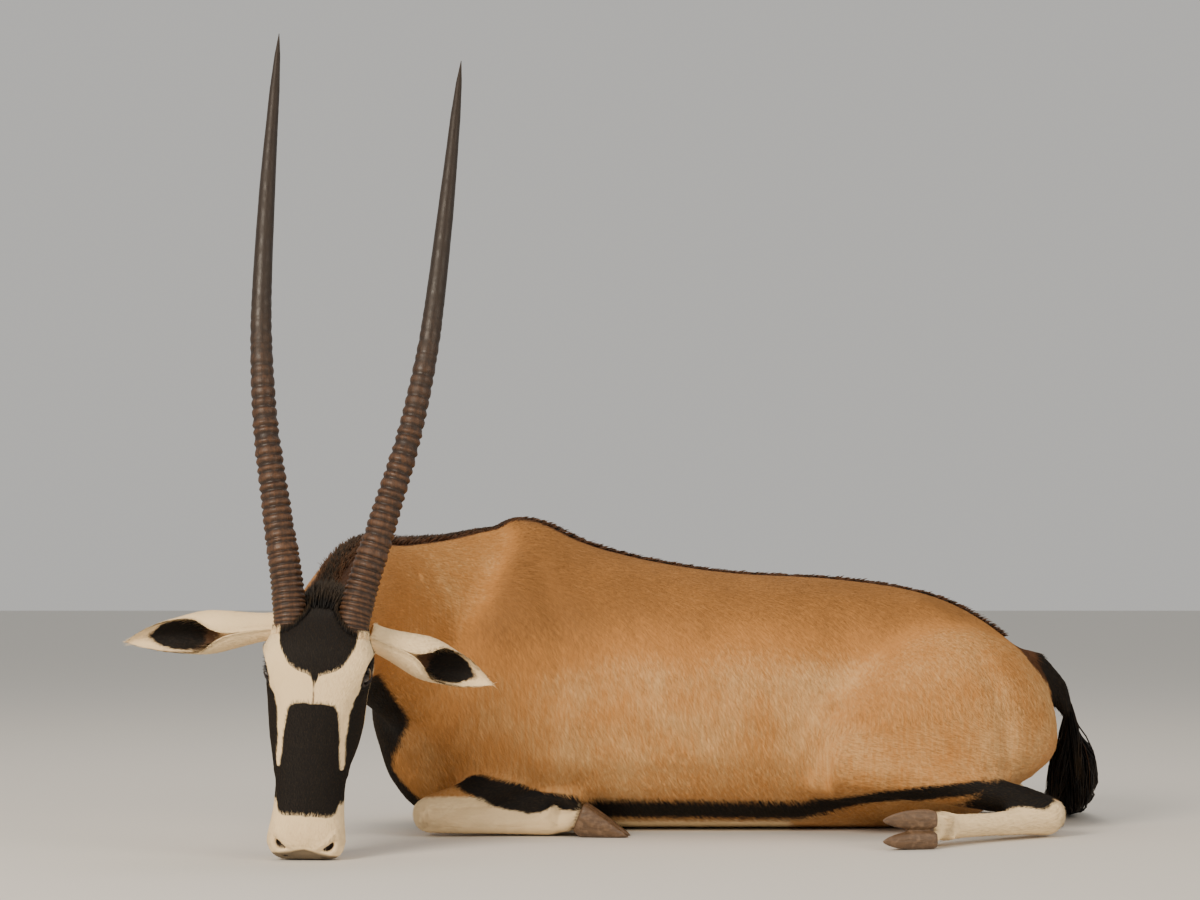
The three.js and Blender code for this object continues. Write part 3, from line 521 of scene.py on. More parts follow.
# Sculpted ridges and hollows of the head in its own millimetres, with x counted from its middle
HEAD_SCULPTED = [
    ([(66, -16, 262), (62, 0, 215), (58, 6, 165), (55, 10, 135)], 6, 1.8),
    ([(62, -30, 252), (56, -36, 215)], 10, -2.4),
    ([(56, 22, 190), (60, 42, 240), (64, 60, 280)], 16, 2.2),
    ([(70, 34, 318), (74, 70, 300)], 12, -2),
    ([(48, -22, 150), (46, -34, 190), (40, -40, 228)], 3.2, 0.9),
    ([(52, 14, 120), (56, 26, 150)], 12, -1.6),
    ([(28, 50, 330), (26, 48, 380)], 14, -1.5),
]


def ridge_rise(places, ridges, steps):
    """How far drawn ridges and hollows push each place out, in millimetres."""
    return sum(height * np.exp(-(distance_to_line(places, line_through(line, steps)) / width) ** 2)
               for line, width, height in ridges)


def sculpt(points, plan, normals, shares):
    """Push the skin out or in along the drawn lines, and in faint waves over the ribs."""
    x, z = plan[:, 0], plan[:, 2]
    body = 1 - share_of(shares, "head")
    rise = (ridge_rise(mirrored(plan), SCULPTED, 9) + ridge_rise(plan, NECK_FOLDS, 9)) * body
    phase = (x - RIBS["first"] + RIBS["slope"] * (z - 250)) / RIBS["spacing"]
    fade = smoothstep(x, RIBS["first"] - 40, RIBS["first"] + 20)
    fade = fade * (1 - smoothstep(x, RIBS["last"] - 40, RIBS["last"] + 30))
    fade = fade * smoothstep(z, 110, 170) * (1 - smoothstep(z, 330, 400)) * share_of(shares, "torso")
    rise += RIBS["height"] * np.cos(2 * np.pi * phase) * fade
    rise += ridge_rise(mirrored_head(plan_to_head(plan)), HEAD_SCULPTED, 7) * (1 - body)
    return points + normals * (rise * MM)[:, None]


# Lids round the eyes
LID = {"half_length": 17.5, "half_height": 11.5, "lean": 24, "radius": 21.6, "inside": 14.5, "reach": 17}
EYE_DEPTH = 8
LID_FOLDS = [(6.5, 1.5, 1.3), (10.5, 2.0, 1.0)]


def eye_frame(side):
    """Middle of the eye and its axes: out of the head, along the slit to the poll, and to the lower lid."""
    look = unit(EYE_LOOKS * (side, 1, 1))
    centre = EYE_CENTRE * (side, 1, 1) - look * EYE_DEPTH
    back = np.array([0, 1.0, 0])
    back = unit(back - look * (back @ look))
    up = np.cross(look, back) * side
    lean = math.radians(LID["lean"])
    slit = up * math.cos(lean) + back * math.sin(lean)
    lower = back * math.cos(lean) - up * math.sin(lean)
    return centre, look, slit, lower


def lid_distance(along, across):
    """Millimetres outside the almond of the lids, less than nothing inside it."""
    u = np.abs(along) / LID["half_length"]
    v = np.abs(across) / LID["half_height"]
    size = (u ** 1.6 + v ** 1.9) ** 0.57
    return (size - 1) * np.hypot(along, across) / np.maximum(size, 0.3)


def shape_lids(plan):
    """Lay the skin round each eye over the ball, with a rim, folds, and the opening sunk behind the ball."""
    head = plan_to_head(plan)
    near_eye = np.full(len(plan), 99.0)
    for side in (-1, 1):
        centre, look, slit, lower = eye_frame(side)
        away = head - centre
        out, along, across = away @ look, away @ slit, away @ lower
        wide = np.hypot(along, across)
        here = (wide < 46) & (out > -14)
        gap = lid_distance(along, across)
        lid = LID["radius"] - wide ** 2 / (2.1 * LID["radius"])
        for place, width, depth in LID_FOLDS:
            lid = lid - depth * np.exp(-((gap - place) / width) ** 2)
        blend = 1 - smoothstep(gap, 3, LID["reach"])
        inside = np.sqrt(np.maximum(LID["inside"] ** 2 - np.minimum(wide, 14) ** 2, 4)) - 3
        opened = smoothstep(gap, -1.6, 0.6)
        target = (1 - opened) * inside + opened * (blend * lid + (1 - blend) * out)
        head[here] += look * (target - out)[here, None]
        near_eye = np.where(here, np.minimum(near_eye, gap), near_eye)
    return head_to_plan(head), near_eye


# Nostrils and mouth in the head's own millimetres
NOSTRIL = {"centre": (39, -4, 25), "half_length": 12, "half_width": 5.2, "depth": 10, "lean": 40}
NOSE_LINE = {"height": 17.5, "half_width": 3.2, "reach": 34, "depth": 1.0}
MOUTH = [(0, -2, 3), (12, 0, 3.5), (26, 6, 6), (38, 16, 18), (48, 25, 44), (54, 31, 68), (55, 33, 86)]
MOUTH_WIDTH = 2.6
MOUTH_DEPTH = 4.5
WING_HEIGHT = 1.6


def shape_muzzle(plan, normals):
    """Cut the nostrils and the line of the mouth, with a raised wing over each nostril."""
    head = plan_to_head(plan)
    either = mirrored_head(head)
    side, deep, high = either.T
    away = either - np.array(NOSTRIL["centre"])
    lean = math.radians(NOSTRIL["lean"])
    along = away[:, 0] * math.cos(lean) + away[:, 2] * math.sin(lean)
    across = -away[:, 0] * math.sin(lean) + away[:, 2] * math.cos(lean)
    size = np.hypot(along / NOSTRIL["half_length"], (across - 0.022 * along ** 2) / NOSTRIL["half_width"])
    front = (deep < 24) & (high < 70)
    hole = np.where(front, 1 - smoothstep(size, 0.5, 1.1), 0)
    wing = np.where(front, np.exp(-((size - 1.75) / 0.55) ** 2), 0)
    line = np.exp(-((high - NOSE_LINE["height"] - 0.004 * side ** 2) / NOSE_LINE["half_width"]) ** 2)
    line = np.where(front, line * (1 - smoothstep(side, NOSE_LINE["reach"] - 8, NOSE_LINE["reach"])), 0)
    lips = np.exp(-(distance_to_line(either, line_through(MOUTH, 30)) / MOUTH_WIDTH) ** 2)
    lips = np.where(high < 110, lips, 0)
    groove = MOUTH_DEPTH * lips * (high < 100) * (deep > 4)
    rise = WING_HEIGHT * wing - NOSTRIL["depth"] * hole - groove - NOSE_LINE["depth"] * line
    lip = np.where(deep < 30, 0.4 * (1 - smoothstep(high + 0.16 * side, 19, 27)), 0)
    moved = head + (normals @ HEAD_AXES) * rise[:, None]
    return head_to_plan(moved), np.maximum.reduce([hole, lips * 0.8, line * 0.25, lip])


# Ears as thin curled shells; a marking of this depth is nowhere to be seen
OUTSIDE = -3.0
EAR_STATIONS = 44
EAR_SPANS = 22
EAR_SHEET = 2.6


def ear_shell(root, tip, opens, bow):
    """Rings of an ear in the head's millimetres, and each point's place along, across and inside or out."""
    root, tip = np.array(root, float), np.array(tip, float)
    along = unit(tip - root)
    length = np.linalg.norm(tip - root)
    across = unit(np.cross(along, np.array(opens, float)))
    opening = np.cross(across, along)
    shares = np.sin(np.linspace(0, np.pi / 2, EAR_STATIONS)) ** 1.15
    rows = smooth_rows(EAR_ROWS, np.interp(shares, EAR_ROWS[:, 0], np.arange(len(EAR_ROWS))))
    rings, places = [], []
    for share, row in zip(shares, rows):
        radius, reach = max(row[1], 1.5), math.radians(row[2])
        sheet = min(EAR_SHEET, radius * 0.3)
        middle = root + along * share * length - opening * bow * math.sin(math.pi * share)
        spans = np.linspace(-1, 1, EAR_SPANS)
        for inner in (0, 1):
            turn = spans[::-1] if inner else spans
            thick = sheet * np.sqrt(np.maximum(1 - np.abs(turn) ** 8, 0))
            far = radius - sheet / 2 + (thick / 2 if not inner else -thick / 2)
            far = far + 0.5 * np.cos(turn * 19) * share * (1 - share) * 4 * inner
            angle = reach * turn
            rings.append(middle - opening * (far * np.cos(angle))[:, None]
                         + across * (far * np.sin(angle))[:, None])
            places.append([(share, across_share, inner) for across_share in turn])
    return np.array(rings).reshape(EAR_STATIONS, -1, 3), np.array(places).reshape(-1, 3), along


def ear_marks(places):
    share, turn, inner = places.T
    inside = inner > 0.5
    cup = 1 - np.hypot((share - 0.69) / 0.17, turn / 0.74)
    around_cup = 1 - np.hypot((share - 0.65) / 0.23, turn / 0.68)
    black_cup = cup * 34 + 2.5 * np.sin(share * 90) * np.cos(turn * 11)
    rim = 3 + 22 * (np.abs(turn) - 0.35) - 20 * np.maximum(share - 0.55, 0)
    return {
        "black": np.where(inside, black_cup, (share - 0.93) * 160) / 6,
        "white": np.where(inside, 16, rim) / 6,
        "brown": np.where(inside, around_cup * 34, -30) / 12,
        "tone_and_shade": -0.9 + 0.9 * share,
        "bare": np.full(len(share), OUTSIDE),
    }


# Markings: how deep each point lies inside each marking, counted in its soft edge's widths
SOFT_EDGE = {"face": 2.6, "body": 9, "leg": 5}
# The tone holds the coat's own paler and darker places, and also painted shade where light falls less
MARKS = ["black", "white", "brown", "tone_and_shade", "bare"]
FLANK_STRIPE = {"heights": [(-150, 47), (340, 41), (470, 68), (650, 88)], "half_width": 17, "thinner": 5}


def head_marks(head):
    x, y, z = np.abs(head[:, 0]), head[:, 1], head[:, 2]
    front = 44 + 0.12 * z
    nose_low, nose_high = NOSE_PATCH_SPAN
    nose = soft_min(interpolated(z, NOSE_PATCH) - x, z - nose_low, nose_high - z, front - y)
    eye_front, eye_back = (interpolated(z, EYE_STRIPE, column) for column in (1, 2))
    stripe = soft_min(y - eye_front, eye_back - y, z - 92, 378 - z, x - 28)
    spike = MUZZLE_SPIKES
    tall = np.clip((spike["top"] - z) / (spike["top"] - spike["bottom"]), -1, 1)
    white_spike = np.minimum(spike["half_width"] * tall - np.abs(x - spike["x"]), front - y)
    poll = np.minimum(interpolated(z, FOREHEAD_PATCH) - x, 62 + 2.2 * np.maximum(z - 372, 0) - y)
    forehead = np.where(z > 268, poll, -30)
    throat = soft_min(y - 62, 14 + 0.11 * np.maximum(z - 58, 0) - x, z - 58, 400 - z)
    black = np.maximum.reduce([np.minimum(np.maximum(nose, stripe), -white_spike), forehead, throat])
    wander = 1.3 * np.sin(z / 11 + np.sin(x / 9)) * np.cos(x / 13 + z / 29)
    line = np.minimum(1.6 - x, between(z, 240, 276)) - 0.5
    return {
        "black": (black + wander) / SOFT_EDGE["face"],
        "white": soft_min(64 - y, 356 - z) / 7,
        "brown": np.maximum(line, np.minimum(y - 55, 34 - x) - 4) / SOFT_EDGE["face"],
        "tone_and_shade": 0.35 * smoothstep(y, 60, 110),
    }


# The black stripe down the throat and breast, widened over the breast's front as painted shadow of the head:
# lines in the plan, each with its half width
BREAST_BLACK_AND_SHADOW = [
    ([(-408, -330, 262), (-402, -250, 248), (-405, -160, 222)], 42),
    ([(-405, -160, 222), (-425, -60, 180), (-425, 0, 110), (-350, 0, 40), (-230, 0, 0)], 84),
]


# Depth inside the throat's black stripe and the breast's black, which is partly painted shadow of the head
def breast_black_and_shadow_depth(plan):
    return np.maximum.reduce([half_width - distance_to_line(plan, line_through(line, 12))
                              for line, half_width in BREAST_BLACK_AND_SHADOW])


def neck_marks(plan):
    step, side, above = neck_place(plan)
    share = step / (NECK_STEPS - 1)
    high, wide = NECK_FRAMES["high"][step], NECK_FRAMES["wide"][step]
    turn = np.arctan2(np.abs(side) / wide, above / high)
    from_crest = turn * (high + wide) / 2
    from_throat = (math.pi - turn) * (high + wide) / 2
    fade = 30 * smoothstep(share, 0, 0.2) - 30
    crest = 24 + 74 * smoothstep(share, 0.55, 1) - from_crest
    return {
        "black": np.maximum(42 - from_throat + 2 * fade, breast_black_and_shadow_depth(plan)) / 12,
        "white": OUTSIDE,
        "brown": (crest + fade * 0.6) / (SOFT_EDGE["body"] + 16 * smoothstep(share, 0.5, 1)),
        # Darker towards the head: painted shadow of the head on the neck
        "tone_and_shade": 0.1 + 0.6 * smoothstep(share, 0.2, 0.85),
    }


def flank_stripe(plan):
    """Depth inside the dark band along the lower flank, which rises over the thigh to the dark of the leg."""
    x, y, z = plan[:, 0], np.abs(plan[:, 1]), plan[:, 2]
    heights = FLANK_STRIPE["heights"]
    half_width = FLANK_STRIPE["half_width"] - FLANK_STRIPE["thinner"] * smoothstep(x, 340, 440)
    band = half_width - np.abs(z - interpolated(x, heights))
    return soft_min(band, between(x, heights[0][0], heights[-1][0]), y - 60)


def trunk_marks(plan):
    x, y, z = plan[:, 0], np.abs(plan[:, 1]), plan[:, 2]
    dorsal = np.where(z > 150, 20 + 16 * smoothstep(x, 670, 790) - y, -30)
    dorsal = dorsal - 40 * (1 - smoothstep(z, 240, 290))
    belly = soft_min(20 - z, x + 150, 330 - x)
    rump = smoothstep(x, 700, 770) * (1 - smoothstep(z, 300, 360))
    return {
        "black": np.maximum(flank_stripe(plan) / SOFT_EDGE["body"], breast_black_and_shadow_depth(plan) / 14),
        "white": np.maximum(belly, -30 + 22 * rump) / SOFT_EDGE["body"],
        "brown": np.where(x > -300, dorsal / 14, OUTSIDE),
        # Darker upwards over the back and towards the shoulder: painted shade where the light falls less; the
        # paler lower rump is the coat's own colour
        "tone_and_shade": -0.15 + 1.5 * smoothstep(z, 250, 420) + 0.3 * smoothstep(-x, 0, 260) - 0.5 * rump,
    }


def foreleg_marks(plan):
    x, z = plan[:, 0], plan[:, 2]
    band = 26 - distance_to_line(mirrored(plan), [(-215, 205, 84), (-120, 212, 62), (-60, 205, 66)])
    white = np.minimum(68 - z, np.maximum(160 - np.abs(x + 120), 10))
    return {"black": np.maximum(band, -20) / SOFT_EDGE["leg"], "white": white / SOFT_EDGE["leg"],
            "brown": OUTSIDE, "tone_and_shade": 0.05}


def hindleg_marks(plan):
    garter = 30 - distance_to_line(mirrored(plan), [(585, 228, 86), (660, 236, 70), (735, 232, 66)])
    hock = -distance_to_line(mirrored(plan), [(735, 225, 30), (785, 224, 26)])
    white = np.minimum(64 - plan[:, 2], 50 - distance_to_line(mirrored(plan), HIND_LINE[4:]))
    return {"black": np.maximum.reduce([garter, hock, flank_stripe(plan)]) / 7,
            "white": white / SOFT_EDGE["leg"], "brown": OUTSIDE,
            "tone_and_shade": -0.1 + 0.25 * smoothstep(plan[:, 2], 120, 380)}


def tail_marks(plan):
    start = smoothstep(plan[:, 0], 745, 790) * 60 - 34
    return {"black": start / 9, "white": OUTSIDE, "brown": 2.0, "tone_and_shade": 0.0}


def all_marks(plan, shares):
    """Each region's markings, mixed by how far a point belongs to it."""
    parts = {
        "torso": trunk_marks(plan), "neck": neck_marks(plan), "head": head_marks(plan_to_head(plan)),
        "foreleg": foreleg_marks(plan), "hindleg": hindleg_marks(plan), "tail": tail_marks(plan),
    }
    return {mark: sum(np.clip(part[mark], -3, 3) * share_of(shares, region) for region, part in parts.items())
            for mark in MARKS[:4]}


# Lie of the hair
HAIR_SHARE = {"torso": 1, "neck": 0.95, "head": 0.42, "foreleg": 0.6, "hindleg": 0.8, "tail": 1}


def limb_flow(plan, line):
    flow = nearest_on_line(mirrored(plan), line_through(line, 40))[1]
    flow[:, 1] *= np.sign(plan[:, 1])
    return flow


def trunk_flow(plan):
    x, z = plan[:, 0], plan[:, 2]
    droop = 0.2 + 1.9 * (1 - smoothstep(z, 280, 500))
    breast = smoothstep(-x, 250, 360)
    return unit(np.column_stack([1 - 0.8 * breast, np.zeros(len(plan)), -droop - breast]))


def neck_flow(plan):
    step = neck_place(plan)[0]
    return unit(-NECK_FRAMES["along"][step] + np.array((0, 0, -0.4)))


def head_flow(plan):
    head = plan_to_head(plan)
    sides = smoothstep(head[:, 1], 30, 80)
    spread = np.sign(head[:, 0]) * 0.12
    local = np.column_stack([spread, 0.2 + 0.5 * sides, np.ones(len(plan))])
    return unit(local) @ HEAD_AXES.T


def hair_flow(plan, shares):
    haunch = smoothstep(plan[:, 2], 150, 240)[:, None]
    hind = haunch * unit(np.array((0.5, 0, -0.85))) + (1 - haunch) * limb_flow(plan, HIND_LINE)
    parts = {
        "torso": trunk_flow(plan), "neck": neck_flow(plan), "head": head_flow(plan),
        "foreleg": limb_flow(plan, FORE_LINE), "hindleg": hind, "tail": limb_flow(plan, TAIL_LINE),
    }
    return unit(sum(flow * share_of(shares, region)[:, None] for region, flow in parts.items()))


def store(mesh, name, values, kind="FLOAT"):
    attribute = mesh.attributes.new(name, kind, "POINT")
    slot = "vector" if kind == "FLOAT_VECTOR" else "value"
    attribute.data.foreach_set(slot, np.asarray(values, np.float32).ravel())


def stored(mesh, name):
    attribute = mesh.attributes[name]
    wide = attribute.data_type == "FLOAT_VECTOR"
    return read_all(attribute.data, "vector" if wide else "value", 3 if wide else 1)


def face_region(plan):
    x, y, z = mirrored_head(plan_to_head(plan)).T
    return (z > -30) & (z < 425) & (x < 105) & (y < 165)


def fine_region(plan):
    head = mirrored_head(plan_to_head(plan))
    x, y, z = head.T
    eyes = np.linalg.norm(head - EYE_CENTRE, axis=1) < 44
    return eyes | ((z > -30) & (z < 95) & (y < 75) & (x < 70))


def cell_sizes(points, ends):
    """The mean length in millimetres of the edges at each vertex."""
    lengths = np.linalg.norm(points[ends[:, 0]] - points[ends[:, 1]], axis=1) / MM
    total = sum(np.bincount(ends[:, end], lengths, len(points)) for end in (0, 1))
    return total / np.maximum(np.bincount(ends.ravel(), minlength=len(points)), 1)


def softening_of(plan, shares):
    """How far each place of the skin is softened, in millimetres, more on thigh, rump, shoulder and poll."""
    torso, neck, head, thigh = (share_of(shares, region) for region in ("torso", "neck", "head", "hindleg"))
    x, z = plan[:, 0], plan[:, 2]
    softening = sum(SOFTENING[region] * share_of(shares, region) for region in REGIONS)
    thigh = smoothstep(z, 110, 190) * np.clip(thigh * 3, 0, 1)
    softening = softening + (THIGH_SOFTENING - softening) * thigh * (softening < THIGH_SOFTENING)
    softening = softening + 16 * smoothstep(x, 480, 640) * torso
    shoulder = np.exp(-((x + 245) / 90) ** 2) * (torso + neck)
    softening = softening + 14 * shoulder * (1 - smoothstep(z, 440, 520))
    return softening + 9 * smoothstep(plan_to_head(plan)[:, 2], 372, 400) * head


def body_skin():
    """Shaped skin of trunk, neck, head, legs and tail with its regions and markings."""
    chosen = settings().skin
    solids = [node for node in FLESH if not node.startswith(("neck", "ear"))]
    webs = [web_tube(side) for side in (-1, 1)]
    mesh = remeshed(merged_copy(solids, [neck_tube(), *webs]), chosen.body_mesh)
    refine(mesh, face_region)
    refine(mesh, fine_region)
    shares, ends, points = region_shares(mesh), edges_of(mesh), mesh_points(mesh)
    softening = softening_of(to_plan(points), shares)
    strength = np.clip(2 * softening ** 2 / (SOFTEN_ROUNDS * cell_sizes(points, ends) ** 2), 0, 0.8)
    move_points(mesh, smoothed(points, ends, strength, SOFTEN_ROUNDS))
    points, normals = mesh_points(mesh), normals_of(mesh)
    points = sculpt(points, to_plan(points), normals, shares)
    depth = chosen.coat_depth + (chosen.face_depth - chosen.coat_depth) * share_of(shares, "head")
    depth = depth * (1 - 0.4 * (share_of(shares, "foreleg") + share_of(shares, "hindleg")))
    plan, near_eye = shape_lids(to_plan(points - normals * depth[:, None]))
    plan, open_skin = shape_muzzle(plan, normals)
    points = to_row(plan)
    points[:, 2] = np.maximum(points[:, 2], SKIN_FLOOR)
    move_points(mesh, points)
    marks = all_marks(plan, shares)
    marks["bare"] = np.maximum((4 - near_eye) / 2, (open_skin - 0.3) * 4)
    return mesh, shares, marks


# Region numbers of the ears: hair grows on this one, and none on the next, inside the closed part of the tube
EAR_REGION = len(REGIONS)
EAR_CLOSED_SHARE = 0.42
FETLOCKS = [(-62, 214, 10), (545, 372, 14), (535, 352, 20)]


def whole_skin():
    """The body's skin and the ears as one mesh that stores markings and the hair's lie, region and length."""
    mesh, shares, marks = body_skin()
    plan = to_plan(mesh_points(mesh))
    flow, region = hair_flow(plan, shares), shares.argmax(axis=1)
    length = sum(HAIR_SHARE[name] * share_of(shares, name) for name in REGIONS)
    for fetlock in FETLOCKS:
        away = np.linalg.norm(mirrored(plan) - fetlock, axis=1)
        length = length * (1 + 0.9 * np.exp(-(away / 40) ** 2))
    points = [plan]
    faces = [list(p.vertices) for p in mesh.polygons]
    for ear in EARS.values():
        rings, places, along = ear_shell(**ear)
        corners, sheets = loft(rings)
        start = sum(map(len, points))
        faces += [[start + v for v in face] for face in sheets]
        points.append(head_to_plan(corners))
        own = ear_marks(places)
        marks = {mark: np.concatenate([marks[mark], own[mark]]) for mark in MARKS}
        flow = np.vstack([flow, np.tile(along @ HEAD_AXES.T, (len(corners), 1))])
        inside = places[:, 2] > 0.5
        region = np.concatenate([region, EAR_REGION + (inside & (places[:, 0] < EAR_CLOSED_SHARE))])
        fringe = inside * smoothstep(np.abs(places[:, 1]), 0.45, 0.8)
        length = np.concatenate([length, 0.34 + 0.7 * fringe])
    skin = new_mesh("coat_skin", to_row(np.vstack(points)), faces)
    recalculated(skin)
    for mark in MARKS:
        store(skin, mark, np.clip(marks[mark], -3, 3))
    store(skin, "flow", flow, "FLOAT_VECTOR")
    store(skin, "region", region)
    store(skin, "length", length)
    return skin


def recalculated(mesh):
    bm = bmesh.new()
    bm.from_mesh(mesh)
    bmesh.ops.recalc_face_normals(bm, faces=bm.faces)
    bmesh.ops.triangulate(bm, faces=[f for f in bm.faces if len(f.verts) > 4])
    bm.to_mesh(mesh)
    bm.free()
    set_smooth(mesh)


# Shader trees
SMOOTH = {"interpolation_type": "SMOOTHSTEP"}


def add_node(tree, kind, inputs=(), output=0, **properties):
    """Add a node with its properties and inputs, values or other nodes' outputs, and give one output."""
    node = tree.nodes.new(kind)
    for name, value in properties.items():
        setattr(node, name, value)
    for place, value in inputs.items() if isinstance(inputs, dict) else enumerate(inputs):
        socket = node.inputs[place]
        if isinstance(value, bpy.types.NodeSocket):
            tree.links.new(value, socket)
        elif socket.type == "RGBA":
            socket.default_value = (*value, 1)
        else:
            socket.default_value = value
    return node.outputs[output] if node.outputs else node


def new_material(name, sockets_of):
    """The named material, made once, with its shader's sockets filled by a function of its tree."""
    if name in bpy.data.materials:
        return bpy.data.materials[name]
    material = bpy.data.materials.new(name)
    material.use_nodes = True
    tree = material.node_tree
    tree.nodes.clear()
    shader = add_node(tree, "ShaderNodeBsdfPrincipled", sockets_of(tree))
    add_node(tree, "ShaderNodeOutputMaterial", {"Surface": shader})
    return material


def layered(tree, base, layers):
    """A colour under layers of colour, each shown as some value rises from a low to a high."""
    for amount, low, high, most, colour in layers:
        share = add_node(tree, "ShaderNodeMapRange", [amount, low, high, 0, most], **SMOOTH)
        base = add_node(tree, "ShaderNodeMix", {0: share, 6: base, 7: colour}, 2, data_type="RGBA")
    return base


def grain(tree, size, detail=3, stretch=(1, 1, 1)):
    """A pattern whose grain is a real size in millimetres and may be drawn out along the piece."""
    place = add_node(tree, "ShaderNodeTexCoord", output="Object")
    spread = add_node(tree, "ShaderNodeMapping", {"Vector": place, "Scale": stretch})
    inputs = {"Vector": spread, "Scale": 1 / (size * MM), "Detail": detail}
    return add_node(tree, "ShaderNodeTexNoise", inputs)


def coat_colour(tree, hairs):
    """Colour of skin or hair from the stored markings, their edges broken by locks of a few millimetres."""
    colours = settings().colours
    names = ["tone_and_shade", "white", "brown", "black", *(["vary", "tip"] if hairs else ["bare"])]
    own = {name: add_node(tree, "ShaderNodeAttribute", output="Fac", attribute_name=name) for name in names}
    patterns = [(grain(tree, 7), 1.1), (grain(tree, 110), 1.5), (grain(tree, 5, stretch=(1, 1, 0.14)), 1.1)]
    ragged, patches, fleck = (
        add_node(tree, "ShaderNodeMath", [pattern, spread, -spread / 2], operation="MULTIPLY_ADD")
        for pattern, spread in patterns)
    tone_and_shade = own["tone_and_shade"]
    for part in [patches, fleck, own["vary"]] if hairs else [patches, fleck]:
        tone_and_shade = add_node(tree, "ShaderNodeMath", [tone_and_shade, part], operation="ADD")
    # Where the tone rises the tan darkens: the coat's own darker patches, and painted shade on the back,
    # shoulder and neck
    dark_and_shaded_tan = [0.52 * part for part in colours.tan]
    layers = [(tone_and_shade, -0.9, 0.4, 1, colours.tan), (tone_and_shade, 0.2, 1.6, 0.8, dark_and_shaded_tan)]
    for name, most in (("white", 1), ("brown", 0.95), ("black", 1)):
        edge = add_node(tree, "ShaderNodeMath", [own[name], ragged], operation="ADD")
        layers.append((edge, -0.5, 0.5, most, getattr(colours, name)))
    if hairs:
        layers.append((own["tip"], 0.4, 1.1, 0.07, colours.pale))
    else:
        layers.append((own["bare"], -0.5, 0.7, 1, colours.bare))
    return layered(tree, colours.pale, layers)


def skin_sockets(tree):
    """Short hair flat on the skin: no gloss, a fine streaky relief, moist bare skin at lids and nostrils."""
    bare = add_node(tree, "ShaderNodeAttribute", output="Fac", attribute_name="bare")
    relief = {"Height": grain(tree, 2.2, stretch=(0.5, 1, 0.6)), "Strength": 0.5, "Distance": 0.8 * MM}
    return {
        "Base Color": coat_colour(tree, hairs=False),
        "Roughness": add_node(tree, "ShaderNodeMapRange", [bare, 0, 1, 0.8, 0.38], **SMOOTH),
        "Normal": add_node(tree, "ShaderNodeBump", relief),
        "Specular IOR Level": 0.3,
    }


def hair_sockets(tree):
    """Antelope hair, keratin fibres in flat tufts: a soft broad sheen along each and slightly paler tips."""
    return {
        "Base Color": coat_colour(tree, hairs=True),
        "Roughness": 0.62,
        "IOR": 1.55,
        "Specular IOR Level": 0.22,
    }


def finished(piece, material, nodes=()):
    """Give a piece its material and slot, let it ride, and hide the solids that it stands for."""
    if not piece.data.materials:
        piece.data.materials.append(material)
    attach(piece, "root")
    if nodes:
        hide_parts(*nodes)
    return piece


def unwrapped(piece):
    """An unwrap of the piece's own shape under the name OFBake."""
    piece.data.uv_layers.new(name="OFBake")
    bpy.ops.object.select_all(action="DESELECT")
    bpy.context.view_layer.objects.active = piece
    piece.select_set(True)
    bpy.ops.object.mode_set(mode="EDIT")
    bpy.ops.mesh.select_all(action="SELECT")
    bpy.ops.uv.smart_project(angle_limit=math.radians(66), island_margin=0.002)
    bpy.ops.object.mode_set(mode="OBJECT")


class GEMSBOK_OT_skin(bpy.types.Operator):
    """Make the skin of trunk, neck, head, ears, legs and tail with its markings"""
    bl_idname = "gemsbok.skin"
    bl_label = "Skin"

    def execute(self, context):
        skin = add_object("coat_skin", whole_skin())
        unwrapped(skin)
        finished(skin, new_material("short_hair_over_skin", skin_sockets), FLESH)
        return {"FINISHED"}


# Hair is sparse on what lies under the animal below this height in millimetres
UNDERSIDE = {"below": 20, "share": 0.12}


def hair_weights(mesh, corners, regions):
    """How much hair each triangle bears: by its area, none where it is bare and little on the underside."""
    points = mesh_points(mesh)
    region = stored(mesh, "region")[corners].max(axis=1)
    bare = stored(mesh, "bare")[corners].max(axis=1) > 0
    a, b, c = (points[corners[:, i]] for i in range(3))
    face = np.cross(b - a, c - a)
    area = np.linalg.norm(face, axis=1) / 2
    under = (points[corners].max(axis=1)[:, 2] < UNDERSIDE["below"] * MM) & (face[:, 2] < 0)
    return area * np.isin(region, regions) * np.where(bare, 0, 1) * np.where(under, UNDERSIDE["share"], 1)


class SkinSample:
    """Places spread evenly over part of the skin, with everything that is stored there."""

    def __init__(self, skin, regions, count, seed):
        mesh = skin.data
        mesh.calc_loop_triangles()
        corners, loops = (read_all(mesh.loop_triangles, part, 3, np.int32) for part in ("vertices", "loops"))
        weight = hair_weights(mesh, corners, regions)
        random = np.random.default_rng(seed)
        sums = np.cumsum(weight)
        chosen = np.searchsorted(sums, (np.arange(count) + random.random(count)) * sums[-1] / count)
        chosen = np.minimum(chosen, len(corners) - 1)
        first, second = random.random(count), random.random(count)
        fold = first + second > 1
        first[fold], second[fold] = 1 - first[fold], 1 - second[fold]
        self.shares = np.column_stack([1 - first - second, first, second])
        self.corners = corners[chosen]
        self.points = self.mix(mesh_points(mesh))
        self.normals = unit(self.mix(normals_of(mesh)))
        self.flow = self.mix(stored(mesh, "flow"))
        self.length = self.mix(stored(mesh, "length"))
        self.marks = {mark: self.mix(stored(mesh, mark)) for mark in MARKS if mark != "bare"}
        self.uv = (unwrap_of(mesh)[loops[chosen]] * self.shares[..., None]).sum(axis=1)
        self.random = random
        self.count = count

    def mix(self, values):
        picked = values[self.corners]
        if values.ndim == 1:
            return (picked * self.shares).sum(axis=1)
        return (picked * self.shares[..., None]).sum(axis=1)


